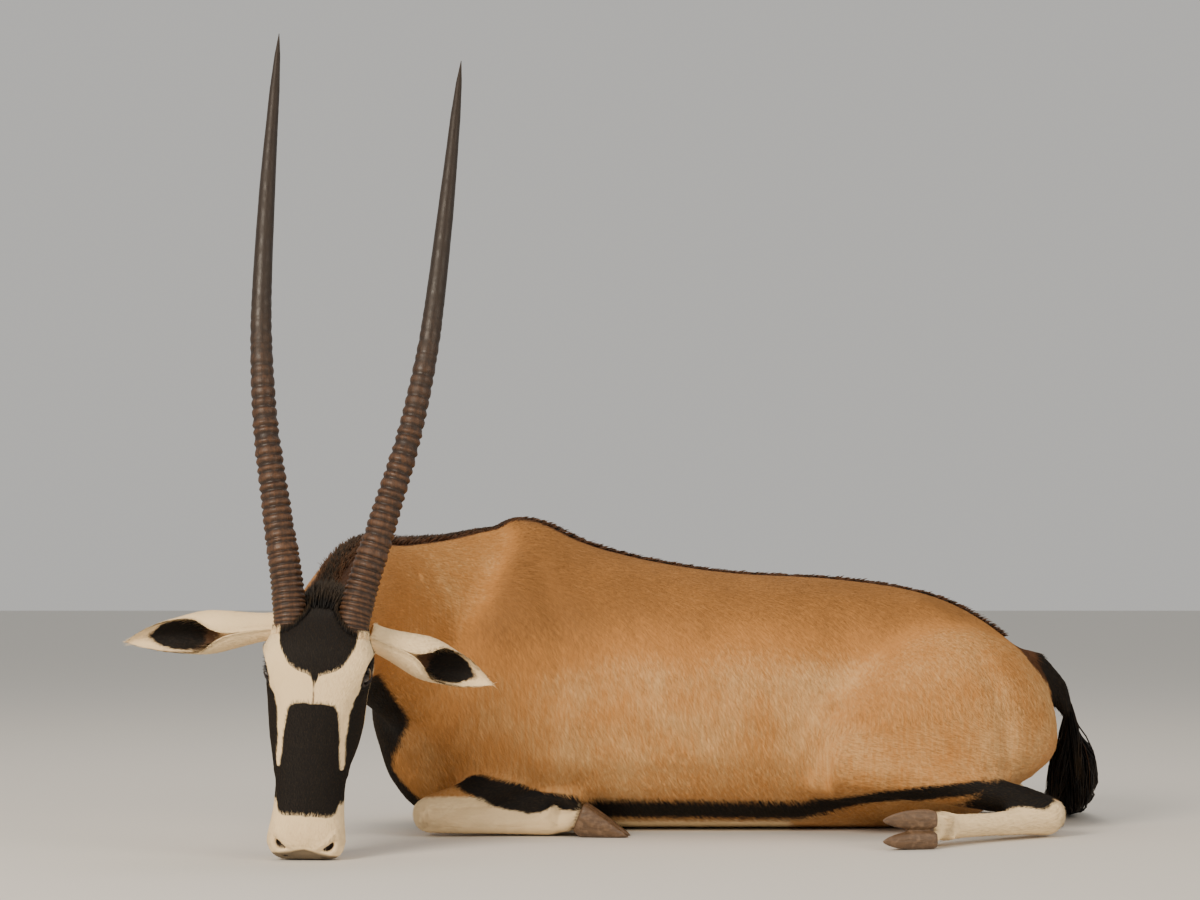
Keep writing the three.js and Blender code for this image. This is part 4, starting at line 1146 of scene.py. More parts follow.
# Tufts: closed spikes of four faces, with their roots sunk in the skin and their ridge and tip above it
TUFT_FACES = np.array([(0, 2, 1), (0, 3, 2), (2, 3, 1), (1, 3, 0)])
SUNK, RIDGE_ABOVE, TIP_ABOVE = 0.6 * MM, 0.7 * MM, 0.6 * MM
FLOOR_GAP = 0.3 * MM
# Half the size of a tuft's own patch of the unwrap, and where its corners lie on it
UV_PATCH = 0.0015
UV_CORNERS = np.array([(-1, -1), (1, -1), (0, 0.2), (0, 1)])


def tuft_mesh(name, sample, length, width, lift, stray=0.1):
    """Flat tufts that lie along the hair's flow, each with a low ridge and a raised tip; sizes in metres."""
    random, count = sample.random, sample.count
    normals = sample.normals
    flow = unit(sample.flow)
    flow = flow + random.normal(0, stray, (count, 3))
    flow = unit(flow - normals * (flow * normals).sum(axis=1, keepdims=True))
    side = np.cross(normals, flow)
    own = (0.65 + 0.7 * random.random(count))[:, None]
    long, wide = length[:, None] * own, width * (0.7 + 0.6 * random.random(count))[:, None]
    root = sample.points - normals * SUNK
    tip_lift = lift * (0.4 + 0.9 * random.random(count))[:, None]
    left = root - side * wide / 2
    right = root + side * wide / 2
    ridge = root + flow * long * 0.3 + normals * (RIDGE_ABOVE + tip_lift * 0.5)
    tip = root + flow * long + normals * (TIP_ABOVE + tip_lift)
    points = np.stack([left, right, ridge, tip], axis=1).reshape(-1, 3)
    points[:, 2] = np.maximum(points[:, 2], FLOOR_GAP)
    faces = (np.arange(count)[:, None, None] * 4 + TUFT_FACES[None]).reshape(-1, 3)
    mesh = triangle_mesh(name, points, faces)
    for mark, values in sample.marks.items():
        store(mesh, mark, np.repeat(values, 4))
    store(mesh, "tip", np.tile([0, 0, 0.4, 1], count))
    store(mesh, "vary", np.repeat(random.normal(0, 0.13, count), 4))
    turned = unit(normals + 0.22 * flow + side * random.normal(0, 0.16, (count, 1)))
    set_normals(mesh, np.repeat(turned, 4, axis=0))
    corner_uv = sample.uv[:, None, :] + UV_CORNERS[None] * UV_PATCH
    corner_uv = corner_uv[:, TUFT_FACES.ravel(), :].reshape(-1, 2)
    mesh.uv_layers.new(name="OFBake").data.foreach_set("uv", corner_uv.astype(np.float32).ravel())
    return mesh


# Pieces of the coat: regions, the setting with their number of tufts, parts, a tuft's width and lift in
# millimetres, seed and slot
COAT_PIECES = {
    "torso": (["torso", "tail"], "torso_tufts", 4, 1.5, 0.9, 110, "coat"),
    "haunch": (["hindleg"], "haunch_tufts", 1, 1.4, 0.9, 120, "coat"),
    "neck": (["neck"], "neck_tufts", 1, 1.6, 1.3, 130, "neck_coat"),
    "head": (["head"], "head_tufts", 1, 0.9, 0.4, 140, "face"),
    "leg": (["foreleg"], "leg_tufts", 1, 1.2, 0.7, 150, "leg_hair"),
    "ears": (["ear"], "ear_tufts", 1, 0.9, 0.6, 160, "ear_skin"),
}


class GEMSBOK_OT_coat(bpy.types.Operator):
    """Lay tufts of hair over the skin"""
    bl_idname = "gemsbok.coat"
    bl_label = "Coat"

    def execute(self, context):
        coat, skin = settings().coat, bpy.data.objects["coat_skin"]
        material = new_material("antelope_hair", hair_sockets)
        for name, (regions, amount, parts, width, lift, seed, slot) in COAT_PIECES.items():
            numbers = [[*REGIONS, "ear"].index(region) for region in regions]
            full = coat.face_length / HAIR_SHARE["head"] if name == "head" else coat.body_length
            for part in range(parts):
                sample = SkinSample(skin, numbers, getattr(coat, amount) // parts, seed + part)
                mesh = tuft_mesh("coat_" + name, sample, full * sample.length, width * MM, lift * MM)
                label = f"coat_{name}_{part + 1}" if parts > 1 else f"coat_{name}"
                finished(add_object(label, mesh), material)
        return {"FINISHED"}


# Locks: tapered strips of three-sided rings along a bowed path
LOCK_SHARES = np.array((0.0, 0.3, 0.62, 1.0))
LOCK_WIDTHS = np.array((0.7, 1.0, 0.75, 0.06))


def lock_faces(rings):
    faces = []
    for ring in range(rings - 1):
        for corner in range(3):
            a, b = ring * 3 + corner, ring * 3 + (corner + 1) % 3
            faces += [(a, b + 3, b), (a, a + 3, b + 3)]
    last = (rings - 1) * 3
    return np.array(faces + [(0, 1, 2), (last + 2, last + 1, last)])


def lock_mesh(name, paths, flats, widths, thickness, marks, seed, uv):
    """Locks along paths (count, rings, 3), each flat across its own direction; sizes in metres."""
    count, rings = paths.shape[:2]
    along = unit(np.gradient(paths, axis=1))
    across = unit(flats[:, None, :] - along * (flats[:, None, :] * along).sum(axis=2, keepdims=True))
    out = np.cross(across, along)
    profile = np.interp(np.linspace(0, 1, rings), LOCK_SHARES, LOCK_WIDTHS)[None, :, None]
    half = across * (widths[:, None, None] / 2 * profile)
    thick = out * (thickness * np.maximum(profile, 0.25))
    sides = [paths - half - thick * 0.3, paths + half - thick * 0.3, paths + thick * 0.7]
    points = np.stack(sides, axis=2).reshape(-1, 3)
    points[:, 2] = np.maximum(points[:, 2], FLOOR_GAP)
    faces = np.arange(count)[:, None, None] * rings * 3 + lock_faces(rings)[None]
    mesh = triangle_mesh(name, points, faces.reshape(-1, 3))
    random = np.random.default_rng(seed)
    for mark, values in marks.items():
        store(mesh, mark, np.repeat(np.broadcast_to(values, count), rings * 3))
    store(mesh, "tip", np.tile(np.repeat(np.linspace(0, 1, rings), 3), count))
    store(mesh, "vary", np.repeat(random.normal(0, 0.25, count), rings * 3))
    spread = np.column_stack([np.tile([-1, 1, 0], rings), np.repeat(np.linspace(-1, 1, rings), 3)])
    order = read_all(mesh.loops, "vertex_index", kind=np.int32)
    corner_uv = (uv[:, None, :] + spread[None] * UV_PATCH).reshape(-1, 2)[order]
    mesh.uv_layers.new(name="OFBake").data.foreach_set("uv", corner_uv.astype(np.float32).ravel())
    return mesh


def skin_tree(skin):
    return BVHTree.FromPolygons([tuple(p) for p in mesh_points(skin.data)],
                                [list(p.vertices) for p in skin.data.polygons])


def rooted(tree, starts, ways):
    """Where rays meet the skin and in which of its faces, with the numbers of the rays that do."""
    ways = np.broadcast_to(ways, starts.shape)
    hits = [tree.ray_cast(Vector(start), Vector(way), 0.4) for start, way in zip(starts, ways)]
    met = np.array([index for index, hit in enumerate(hits) if hit[0] is not None])
    roots = np.array([hits[index][0] for index in met], float)
    return roots, np.array([hits[index][2] for index in met]), met


def bent_paths(roots, way, bend, lengths, sunk=0.12):
    """Paths of four points from just under their roots, along a way that bends more towards the tips."""
    return np.stack([roots + (way * (share - sunk) + bend * share ** 2) * lengths[:, None]
                     for share in np.linspace(0, 1, 4)], axis=1)


def skin_uv(skin, faces):
    """Where the given faces of the skin lie on its unwrap."""
    starts = read_all(skin.data.polygons, "loop_start", kind=np.int32)
    return unwrap_of(skin.data)[starts[faces][:, None] + np.arange(3)].mean(axis=1)


def crest_places(shares):
    """Sections of the neck at shares along it from the shoulders to the poll, with its axes there."""
    rows = line_through(NECK, NECK_STEPS)
    steps = np.clip(shares, 0, 1) * (NECK_STEPS - 1)
    at = [np.column_stack([np.interp(steps, np.arange(NECK_STEPS), column) for column in table.T])
          for table in (rows, *(NECK_FRAMES[axis] for axis in ("up", "side", "along")))]
    return at[0][:, :5], unit(at[1]), unit(at[2]), unit(at[3])


MANE = {"span": (0.03, 1.0), "aside": 15, "lean": 1.05, "wide": 3.4, "thin": 1.0, "low": 0.2}
SHORT_LOCK_WIDTH = 3.2
BACK = {"locks": 2200, "half_width": 13, "start": -165, "end": 715, "tall": 15}
POLL = {"locks": 900, "half_width": 30, "front": -14, "back": 78, "above": 470, "tall": 36}


def poll_paths(tree, random):
    """Paths of the black locks that stand on the poll round the horns, and their roots' faces."""
    count = POLL["locks"]
    across = POLL["half_width"] * (2 * random.random(count) - 1)
    back = POLL["front"] + (POLL["back"] - POLL["front"]) * random.random(count)
    starts = to_row(head_to_plan(np.column_stack([across, back, np.full(count, POLL["above"])])))
    roots, faces, met = rooted(tree, starts, -HEAD_AXES[:, 2])
    across, count = across[met], len(met)
    tall = POLL["tall"] * MM * (0.7 + 0.5 * random.random(count))
    tall = tall * (1 - 0.45 * (across / POLL["half_width"]) ** 2)
    sideways, backwards = (random.normal(0, 0.12, count) for _ in range(2))
    way = unit(np.column_stack([across / 90 + sideways, 0.32 + backwards, np.ones(count)])) @ HEAD_AXES.T
    return bent_paths(roots, way, HEAD_AXES[:, 1] * 0.3, tall), faces


def back_paths(tree, random):
    """Paths of the short dark hair along the middle of the back, and their roots' faces."""
    count = BACK["locks"]
    across = np.clip(random.normal(0, 0.45, count), -1, 1) * BACK["half_width"]
    along = BACK["start"] + (BACK["end"] - BACK["start"]) * random.random(count)
    starts = to_row(np.column_stack([along, across, np.full(count, 640.0)]))
    roots, faces, met = rooted(tree, starts, (0, 0, -1.0))
    across, count = across[met], len(met)
    tall = BACK["tall"] * MM * (0.6 + 0.6 * random.random(count))
    sideways, upwards = (random.normal(0, spread, count) for spread in (0.12, 0.1))
    way = np.column_stack([np.ones(count), across / 60 + sideways, 0.42 + upwards])
    return bent_paths(roots, way, np.array((0, 0, -0.22)), tall), faces


def crest_locks(tree, random):
    """The mane's paths, their roots' faces, and each lock's flat side, width and blackness."""
    count = settings().coat.mane_locks
    first, last = MANE["span"]
    shares = first + (last - first) * random.random(count)
    place, up, side, along = crest_places(shares)
    aside = random.normal(0, 0.5, count).clip(-1, 1)
    high = place[:, 3] * (1 - 0.5 * (np.abs(aside) * MANE["aside"] / place[:, 4]) ** 2)
    starts = place[:, :3] + up * (high + 60)[:, None] + side * (aside * MANE["aside"])[:, None]
    roots, faces, met = rooted(tree, to_row(starts), -up)
    up, side, along, aside, shares = (values[met] for values in (up, side, along, aside, shares))
    count = len(met)
    tall = settings().coat.mane_length * (MANE["low"] + (1 - MANE["low"]) * smoothstep(shares, 0.02, 0.45))
    tall = tall * (1 - 0.35 * np.abs(aside)) * (0.75 + 0.4 * random.random(count))
    lean = MANE["lean"] * (0.7 + 0.5 * random.random(count))
    paths = []
    for share in np.linspace(0, 1, 4):
        rise = up * ((share - 0.12) * (1 - 0.22 * share))
        back = -along * (lean * share ** 1.4 * 0.62)[:, None]
        splay = side * (aside * 0.34 * share + 0.1 * share * random.normal(0, 1, count))[:, None]
        paths.append(roots + (rise + back + splay) * tall[:, None])
    widths = MANE["wide"] * MM * (0.6 + 0.7 * random.random(count))
    flats = side + along * random.normal(0, 0.7, (count, 1))
    black = 0.7 - 2.2 * np.abs(aside) + smoothstep(shares, 0.6, 1) + random.normal(0, 0.7, count)
    return np.stack(paths, axis=1), faces, flats, widths, black


class GEMSBOK_OT_mane(bpy.types.Operator):
    """Set the upright mane on the neck's crest, the poll's tuft and the dark hair along the back"""
    bl_idname = "gemsbok.mane"
    bl_label = "Mane"

    def execute(self, context):
        skin = bpy.data.objects["coat_skin"]
        tree, random = skin_tree(skin), np.random.default_rng(21)
        crest, crest_faces, flats, widths, black = crest_locks(tree, random)
        poll, poll_faces = poll_paths(tree, random)
        back, back_faces = back_paths(tree, random)
        paths, added = np.vstack([crest, poll, back]), len(poll) + len(back)
        flats = np.vstack([flats, random.normal(0, 1, (added, 3))])
        widths = np.append(widths, SHORT_LOCK_WIDTH * MM * (0.6 + 0.7 * random.random(added)))
        black = [black, 2 + random.normal(0, 0.5, len(poll)), random.normal(-0.4, 0.6, len(back))]
        marks = {"black": np.concatenate(black), "white": OUTSIDE, "brown": 2.0,
                 "tone_and_shade": 0.3 + random.normal(0, 0.3, len(paths))}
        uv = skin_uv(skin, np.concatenate([crest_faces, poll_faces, back_faces]))
        mesh = lock_mesh("mane", paths, flats, widths, MANE["thin"] * MM, marks, 22, uv)
        finished(add_object("mane", mesh), new_material("antelope_hair", hair_sockets))
        return {"FINISHED"}


# Lashes on the upper lids, and the short hair that lies up against the horns' bases
LASHES = {"count": 46, "length": 9, "wide": 0.9}
HORN_FRINGE = {"count": 420, "length": 15, "wide": 2.0, "clear": 1.0}


def lash_paths(random):
    """Paths of the lashes of both eyes in the head's own millimetres."""
    paths = []
    for side in (-1, 1):
        centre, look, slit, lower = eye_frame(side)
        share = random.random(LASHES["count"]) * 1.6 - 0.65
        along = share * LID["half_length"]
        across = -LID["half_height"] * np.clip(1 - np.abs(share) ** 1.6, 0, 1) ** 0.53
        out = LID["radius"] - (along ** 2 + across ** 2) / (2.1 * LID["radius"])
        root = centre + look * (out - 1.5)[:, None] + slit * along[:, None] + lower * across[:, None]
        way = look - 0.1 * lower + slit * (0.5 * share + random.normal(0, 0.12, len(share)))[:, None]
        lengths = LASHES["length"] * (0.6 + 0.5 * random.random(len(share)))
        paths.append(bent_paths(root, way, lower * 0.45, lengths, sunk=0))
    return np.vstack(paths)


def horn_fringe(tree, random):
    """Paths of the hair round both horns' bases in the head's own millimetres, and their roots' faces."""
    paths, faces = [], []
    count = HORN_FRINGE["count"]
    for side in HEAD_SIDES:
        middles, radii = horn_line(side)
        turn = random.random(count) * 2 * np.pi
        outward = np.column_stack([np.cos(turn), np.sin(turn), np.zeros(count)])
        far = radii[2] + HORN_FRINGE["clear"] + 3 * random.random(count)
        starts = to_row(head_to_plan(middles[2] + outward * far[:, None] + (0, 0, 90)))
        roots, met_faces, met = rooted(tree, starts, -HEAD_AXES[:, 2])
        lengths = HORN_FRINGE["length"] * (0.5 + 0.6 * random.random(len(met)))
        way = unit((0, 0, 1.0) + outward[met] * random.normal(-0.12, 0.1, (len(met), 1)))
        paths.append(bent_paths(plan_to_head(to_plan(roots)), way, 0, lengths, sunk=0.15))
        faces.append(met_faces)
    return np.vstack(paths), np.concatenate(faces)


class GEMSBOK_OT_fringes(bpy.types.Operator):
    """Set the lashes and the short hair round the horns' bases"""
    bl_idname = "gemsbok.fringes"
    bl_label = "Lashes and Fringes"

    def execute(self, context):
        skin = bpy.data.objects["coat_skin"]
        tree, random = skin_tree(skin), np.random.default_rng(41)
        lashes = lash_paths(random)
        fringe, faces = horn_fringe(tree, random)
        lash_faces = [tree.find_nearest(Vector(root))[2] for root in to_row(head_to_plan(lashes[:, 0]))]
        paths = np.vstack([lashes, fringe])
        count = len(paths)
        lash = np.arange(count) < len(lashes)
        wide = np.where(lash, LASHES["wide"], HORN_FRINGE["wide"])
        widths = wide * MM * (0.7 + 0.5 * random.random(count))
        own = head_marks(paths[:, 0])
        marks = {"black": np.where(lash, 3, np.clip(own["black"], -3, 3)),
                 "white": np.clip(own["white"], -3, 3), "brown": OUTSIDE, "tone_and_shade": own["tone_and_shade"]}
        rows = to_row(head_to_plan(paths.reshape(-1, 3))).reshape(paths.shape)
        flats = random.normal(0, 1, (count, 3))
        uv = skin_uv(skin, np.concatenate([lash_faces, faces]))
        mesh = lock_mesh("fringe_hair", rows, flats, widths, 0.6 * MM, marks, 42, uv)
        finished(add_object("fringe_hair", mesh), new_material("antelope_hair", hair_sockets))
        return {"FINISHED"}


# The tail's tuft in the plan: place of its middle, half height and half width
TUFT_ROWS = np.array([
    (834, 14, 214, 18, 18), (840, 30, 160, 30, 30), (845, 45, 118, 42, 42), (852, 90, 66, 44, 46),
    (858, 170, 42, 40, 44), (862, 260, 28, 26, 36), (858, 350, 16, 13, 20), (850, 408, 8, 4, 6),
], float)
TAIL_HAIR = {"clumps": 110, "length": 0.42, "wide": 3.4, "thin": 1.3, "rings": 6}


def tail_paths(random, count):
    """Paths in the plan of the tuft's locks, which hang in clumps, and where each lies on its unwrap."""
    clumps, rings = TAIL_HAIR["clumps"], TAIL_HAIR["rings"]
    clump = random.integers(0, clumps, count)
    start = (random.random(clumps) ** 0.9 * 0.8)[clump] + random.normal(0, 0.03, count)
    start = np.clip(start, 0, 0.85)
    turn = (random.random(clumps) * 2 * np.pi)[clump]
    inward = np.sqrt(random.random(clumps) * 0.9 + 0.06)[clump]
    loose_turn, loose_inward = random.normal(0, 0.35, count), random.normal(0, 0.14, count)
    length = TAIL_HAIR["length"] * (0.55 + 0.6 * random.random(count))
    wander = random.normal(0, 0.12, clumps)[clump]
    paths = []
    for step in range(rings):
        share = np.clip(start + length * step / (rings - 1), 0, 1)
        near = (share, np.minimum(share + 0.02, 1), np.maximum(share - 0.02, 0))
        place, ahead, behind = (smooth_rows(TUFT_ROWS, at * (len(TUFT_ROWS) - 1.0001)) for at in near)
        along = unit(ahead[:, :3] - behind[:, :3])
        side = unit(np.cross(along, (1, 0, 0.2)))
        wide = unit(np.cross(side, along))
        apart = 1 - 0.75 * step / (rings - 1)
        grow = np.clip(inward + loose_inward * apart, 0, 1) * min(1, 0.35 + step * 0.3)
        angle = turn + loose_turn * apart + wander * step
        paths.append(place[:, :3] + side * (grow * place[:, 3] * np.sin(angle))[:, None]
                     + wide * (grow * place[:, 4] * np.cos(angle))[:, None])
    uv = np.column_stack([(turn / (2 * np.pi) + 0.05 * loose_turn) % 1, start]) * 0.94 + 0.03
    return np.stack(paths, axis=1), uv


class GEMSBOK_OT_tail_hair(bpy.types.Operator):
    """Hang the long black hair of the tail's end over the floor"""
    bl_idname = "gemsbok.tail_hair"
    bl_label = "Tail Hair"

    def execute(self, context):
        count = settings().coat.tail_locks
        random = np.random.default_rng(31)
        paths, uv = tail_paths(random, count)
        paths = to_row(paths.reshape(-1, 3)).reshape(paths.shape)
        flats = unit(random.normal(0, 1, (count, 3)))
        widths = TAIL_HAIR["wide"] * MM * (0.5 + 0.8 * random.random(count))
        marks = {"black": 1.5 + random.normal(0, 0.6, count), "white": OUTSIDE, "brown": 1.0,
                 "tone_and_shade": random.normal(0.3, 0.3, count)}
        mesh = lock_mesh("tail_hair", paths, flats, widths, TAIL_HAIR["thin"] * MM, marks, 32, uv)
        hair = new_material("antelope_hair", hair_sockets)
        finished(add_object("tail_hair", mesh), hair, ["tail_tuft"])
        return {"FINISHED"}


# Horns: half the distance between their axes and their radius, each by the length from the root
HORN_LENGTH = 988
HORN_START = -22
HORN_ROOT = (-10, 352)
HORN_SPREAD = [(-22, 46), (45, 53), (172, 80), (332, 114), (495, 135), (715, 145), (988, 151)]
HORN_RADIUS = [
    (-22, 25.3), (45, 25.5), (170, 22.6), (332, 19.3), (495, 16.5),
    (715, 13.0), (888, 8.3), (950, 4.8), (980, 1.6), (988, 0.5),
]
HORN_LEAN = {"straight": 70, "curved": 60, "sideways": -7}
HORN_RISE = {"right": 0.998, "left": 0.972}
HORN_RINGS = {"Rings": 44, "First Ring": 0.003, "Spacing": 0.0058, "Growth": 0.00034, "Ring Height": 0.0009,
              "Grain": 0.0007, "Unevenness": 0.7}
SECTIONS_A_RING = 7
SMOOTH_SECTIONS = 60


def table_curve(rows, places):
    """Values of a table on smooth curves through its rows."""
    rows = np.asarray(rows, float)
    return smooth_rows(rows, np.interp(places, rows[:, 0], np.arange(len(rows))))[:, 1]


def horn_line(side):
    """Middle line of a horn in the head's own millimetres, and its radius."""
    first, spacing, growth = (HORN_RINGS[name] / MM for name in ("First Ring", "Spacing", "Growth"))
    rings = np.arange(0, HORN_RINGS["Rings"], 1 / SECTIONS_A_RING)
    ringed = first + spacing * rings + growth * rings ** 2 / 2
    smooth = np.linspace(ringed[-1], HORN_LENGTH, SMOOTH_SECTIONS)[1:]
    lengths = np.concatenate([[HORN_START, HORN_START / 2, 0], ringed, smooth])
    share = np.maximum(lengths, 0) / HORN_LENGTH
    across = HEAD_SIDES[side] * table_curve(HORN_SPREAD, lengths) + HORN_LEAN["sideways"] * share
    back = HORN_ROOT[0] + HORN_LEAN["straight"] * share + HORN_LEAN["curved"] * share ** 2
    height = HORN_ROOT[1] + HORN_RISE[side] * lengths
    return np.column_stack([across, back, height]), table_curve(HORN_RADIUS, lengths)


def horn_curve(side):
    points, radii = horn_line(side)
    curve = bpy.data.curves.new("horn_line", "CURVE")
    curve.dimensions = "3D"
    spline = curve.splines.new("POLY")
    spline.points.add(len(points) - 1)
    for place, point, radius in zip(spline.points, to_row(head_to_plan(points)), radii):
        place.co = (*point, 1)
        place.radius = radius * MM
    return add_object("horn_line", curve)


# Steps from the length along a horn to its ringed radius: name, operation and values, each a number or the
# name of an earlier step. The ring number n at a length L solves Growth * n * n / 2 + Spacing * n = L, and a
# pattern along the horn, wander, shifts each ring and makes it bolder or fainter.
RING_STEPS = [
    ("start", "ADD", "First Ring", -HORN_START * MM),
    ("beyond", "SUBTRACT", "length", "start"),
    ("square", "MULTIPLY", "Spacing", "Spacing"),
    ("grown", "MULTIPLY", "Growth", "beyond"),
    ("twice", "MULTIPLY", "grown", 2),
    ("both", "ADD", "square", "twice"),
    ("positive", "MAXIMUM", "both", 0),
    ("root", "SQRT", "positive"),
    ("past", "SUBTRACT", "root", "Spacing"),
    ("even ring", "DIVIDE", "past", "Growth"),
    ("off", "SUBTRACT", "wander", 0.5),
    ("shift", "MULTIPLY", "off", "Unevenness"),
    ("ring", "ADD", "even ring", "shift"),
    ("angle", "MULTIPLY", "ring", math.pi),
    ("sine", "SINE", "angle"),
    ("bulge", "ABSOLUTE", "sine"),
    ("wave", "MULTIPLY_ADD", "bulge", 2, -1.2),
    ("left", "SUBTRACT", "Rings", "ring"),
    ("fade", "DIVIDE", "left", 14),
    ("begin", "MULTIPLY_ADD", "ring", 0.045, 0.4),
    ("shown", "MULTIPLY", "fade", "begin"),
    ("plain", "MULTIPLY", "shown", "Ring Height"),
    ("bold", "MULTIPLY_ADD", "shift", 1.6, 1),
    ("high", "MULTIPLY", "plain", "bold"),
    ("ringed", "MULTIPLY_ADD", "wave", "high", "radius"),
    ("ring_height", "MULTIPLY", "wave", "fade"),
    ("rough", "SUBTRACT", "speckle", 0.5),
    ("push", "MULTIPLY", "rough", "Grain"),
]
CLAMPED_STEPS = ("fade", "begin")


def horn_tree(material):
    """Nodes that sweep a ringed horn along its middle line: rings stand closer together at the root."""
    tree = bpy.data.node_groups.new("ringed_horn", "GeometryNodeTree")
    tree.interface.new_socket("Geometry", in_out="INPUT", socket_type="NodeSocketGeometry")
    for name, value in HORN_RINGS.items():
        kind = "NodeSocketInt" if isinstance(value, int) else "NodeSocketFloat"
        tree.interface.new_socket(name, in_out="INPUT", socket_type=kind).default_value = value
    tree.interface.new_socket("Geometry", in_out="OUTPUT", socket_type="NodeSocketGeometry")
    given = add_node(tree, "NodeGroupInput").node.outputs
    known = {name: given[name] for name in HORN_RINGS}
    known["length"] = add_node(tree, "GeometryNodeSplineParameter", output="Length")
    known["radius"] = add_node(tree, "GeometryNodeInputRadius")
    known["speckle"] = add_node(tree, "ShaderNodeTexNoise", {"Scale": 110, "Detail": 3})
    known["wander"] = add_node(tree, "ShaderNodeTexNoise", {"Scale": 0.9, "Detail": 1}, noise_dimensions="1D")
    for name, operation, *values in RING_STEPS:
        inputs = [known.get(value, value) for value in values]
        clamp = name in CLAMPED_STEPS
        known[name] = add_node(tree, "ShaderNodeMath", inputs, operation=operation, use_clamp=clamp)
    tree.links.new(known["even ring"], known["wander"].node.inputs["W"])
    line = given["Geometry"]
    for name, value in (("ring_height", "ring_height"), ("along", "length")):
        inputs = {"Geometry": line, "Name": name, "Value": known[value]}
        line = add_node(tree, "GeometryNodeStoreNamedAttribute", inputs, data_type="FLOAT", domain="POINT")
    ringed = known["ringed"]
    line = add_node(tree, "GeometryNodeSetCurveRadius", {"Curve": line, "Radius": ringed})
    outline = add_node(tree, "GeometryNodeCurvePrimitiveCircle", {"Resolution": 36, "Radius": 1})
    inputs = {"Curve": line, "Profile Curve": outline, "Scale": ringed, "Fill Caps": True}
    horn = add_node(tree, "GeometryNodeCurveToMesh", inputs)
    normal = add_node(tree, "GeometryNodeInputNormal")
    push = {"Vector": normal, "Scale": known["push"]}
    offset = add_node(tree, "ShaderNodeVectorMath", push, operation="SCALE")
    horn = add_node(tree, "GeometryNodeSetPosition", {"Geometry": horn, "Offset": offset})
    horn = add_node(tree, "GeometryNodeSetShadeSmooth", {"Geometry": horn})
    horn = add_node(tree, "GeometryNodeRealizeInstances", {"Geometry": horn})
    horn = add_node(tree, "GeometryNodeSetMaterial", {"Geometry": horn, "Material": material})
    add_node(tree, "NodeGroupOutput", {"Geometry": horn})
    return tree


def horn_sockets(tree):
    """Keratin sheath: ring crests painted pale, partly as worn horn and partly as lit highlights, over
    grooves painted dark as shade; darker and dully polished towards the tip.
    """
    colours = settings().colours
    height, along = (add_node(tree, "ShaderNodeAttribute", output="Fac", attribute_name=name)
                     for name in ("ring_height", "along"))
    crest_wear_and_light = add_node(tree, "ShaderNodeMath", [grain(tree, 7, 4), 3.4, -1.7], operation="MULTIPLY_ADD")
    crest = add_node(tree, "ShaderNodeMath", [height, crest_wear_and_light], operation="ADD")
    dark_groove = [0.45 * part for part in colours.horn_groove_shaded]
    # Crests painted paler as worn horn and as lit highlights, grooves painted darker as shade in the hollows
    colour = layered(tree, colours.horn_groove_shaded, [
        (crest, -0.9, 1.3, 1, colours.horn_crest_lit_and_worn),
        (along, 0.3, 0.62, 1, colours.horn_tip),
        (grain(tree, 3.2, 4, (1, 1, 0.06)), 0.32, 0.7, 0.45, dark_groove),
    ])
    relief = {"Height": grain(tree, 2, 4, (1, 1, 0.08)), "Strength": 0.5, "Distance": 0.6 * MM}
    return {
        "Base Color": colour,
        "Roughness": add_node(tree, "ShaderNodeMapRange", [grain(tree, 18), 0.3, 0.7, 0.4, 0.62], **SMOOTH),
        "Normal": add_node(tree, "ShaderNodeBump", relief),
        "IOR": 1.54,
        "Specular IOR Level": 0.4,
    }


class GEMSBOK_OT_horns(bpy.types.Operator):
    """Sweep the two long ringed horns along their middle lines"""
    bl_idname = "gemsbok.horns"
    bl_label = "Horns"

    def execute(self, context):
        tree = horn_tree(new_material("ringed_horn_keratin", horn_sockets))
        inputs = [item for item in tree.interface.items_tree if item.in_out == "INPUT"]
        identifiers = {item.name: item.identifier for item in inputs}
        for side in HEAD_SIDES:
            line = horn_curve(side)
            sweep = line.modifiers.new("horn", "NODES")
            sweep.node_group = tree
            for name, value in HORN_RINGS.items():
                sweep[identifiers[name]] = value
            mesh = bpy.data.meshes.new_from_object(line.evaluated_get(context.evaluated_depsgraph_get()))
            bpy.data.objects.remove(line)
            finished(add_object(f"horn_{side}_sheath", mesh), None, [f"horn_{side}"])
        return {"FINISHED"}


# Eyes: fine balls with the pupil's and iris's places stored on them
IRIS_ANGLE = 38
PUPIL = {"half_length": 8.4, "half_height": 4.6}
EYE_INSET = 0.4
CORNEA_BULGE = 0.035


def ball(radius, sides=64, steps=48):
    """Points and faces of a ball round the origin, in rings from pole to pole."""
    turn = np.linspace(0, 2 * np.pi, sides, endpoint=False)
    tilt = np.linspace(-np.pi / 2, np.pi / 2, steps + 1)[1:-1, None]
    level, rise = np.cos(tilt), np.sin(tilt) + 0 * turn
    rings = radius * np.stack([level * np.cos(turn), level * np.sin(turn), rise], axis=-1)
    points, (*faces, low, high) = loft(rings)
    for cap, pole in ((low, len(points)), (high, len(points) + 1)):
        faces += [[a, b, pole] for a, b in zip(cap, cap[1:] + cap[:1])]
    return np.vstack([points, (0, 0, -radius), (0, 0, radius)]), faces


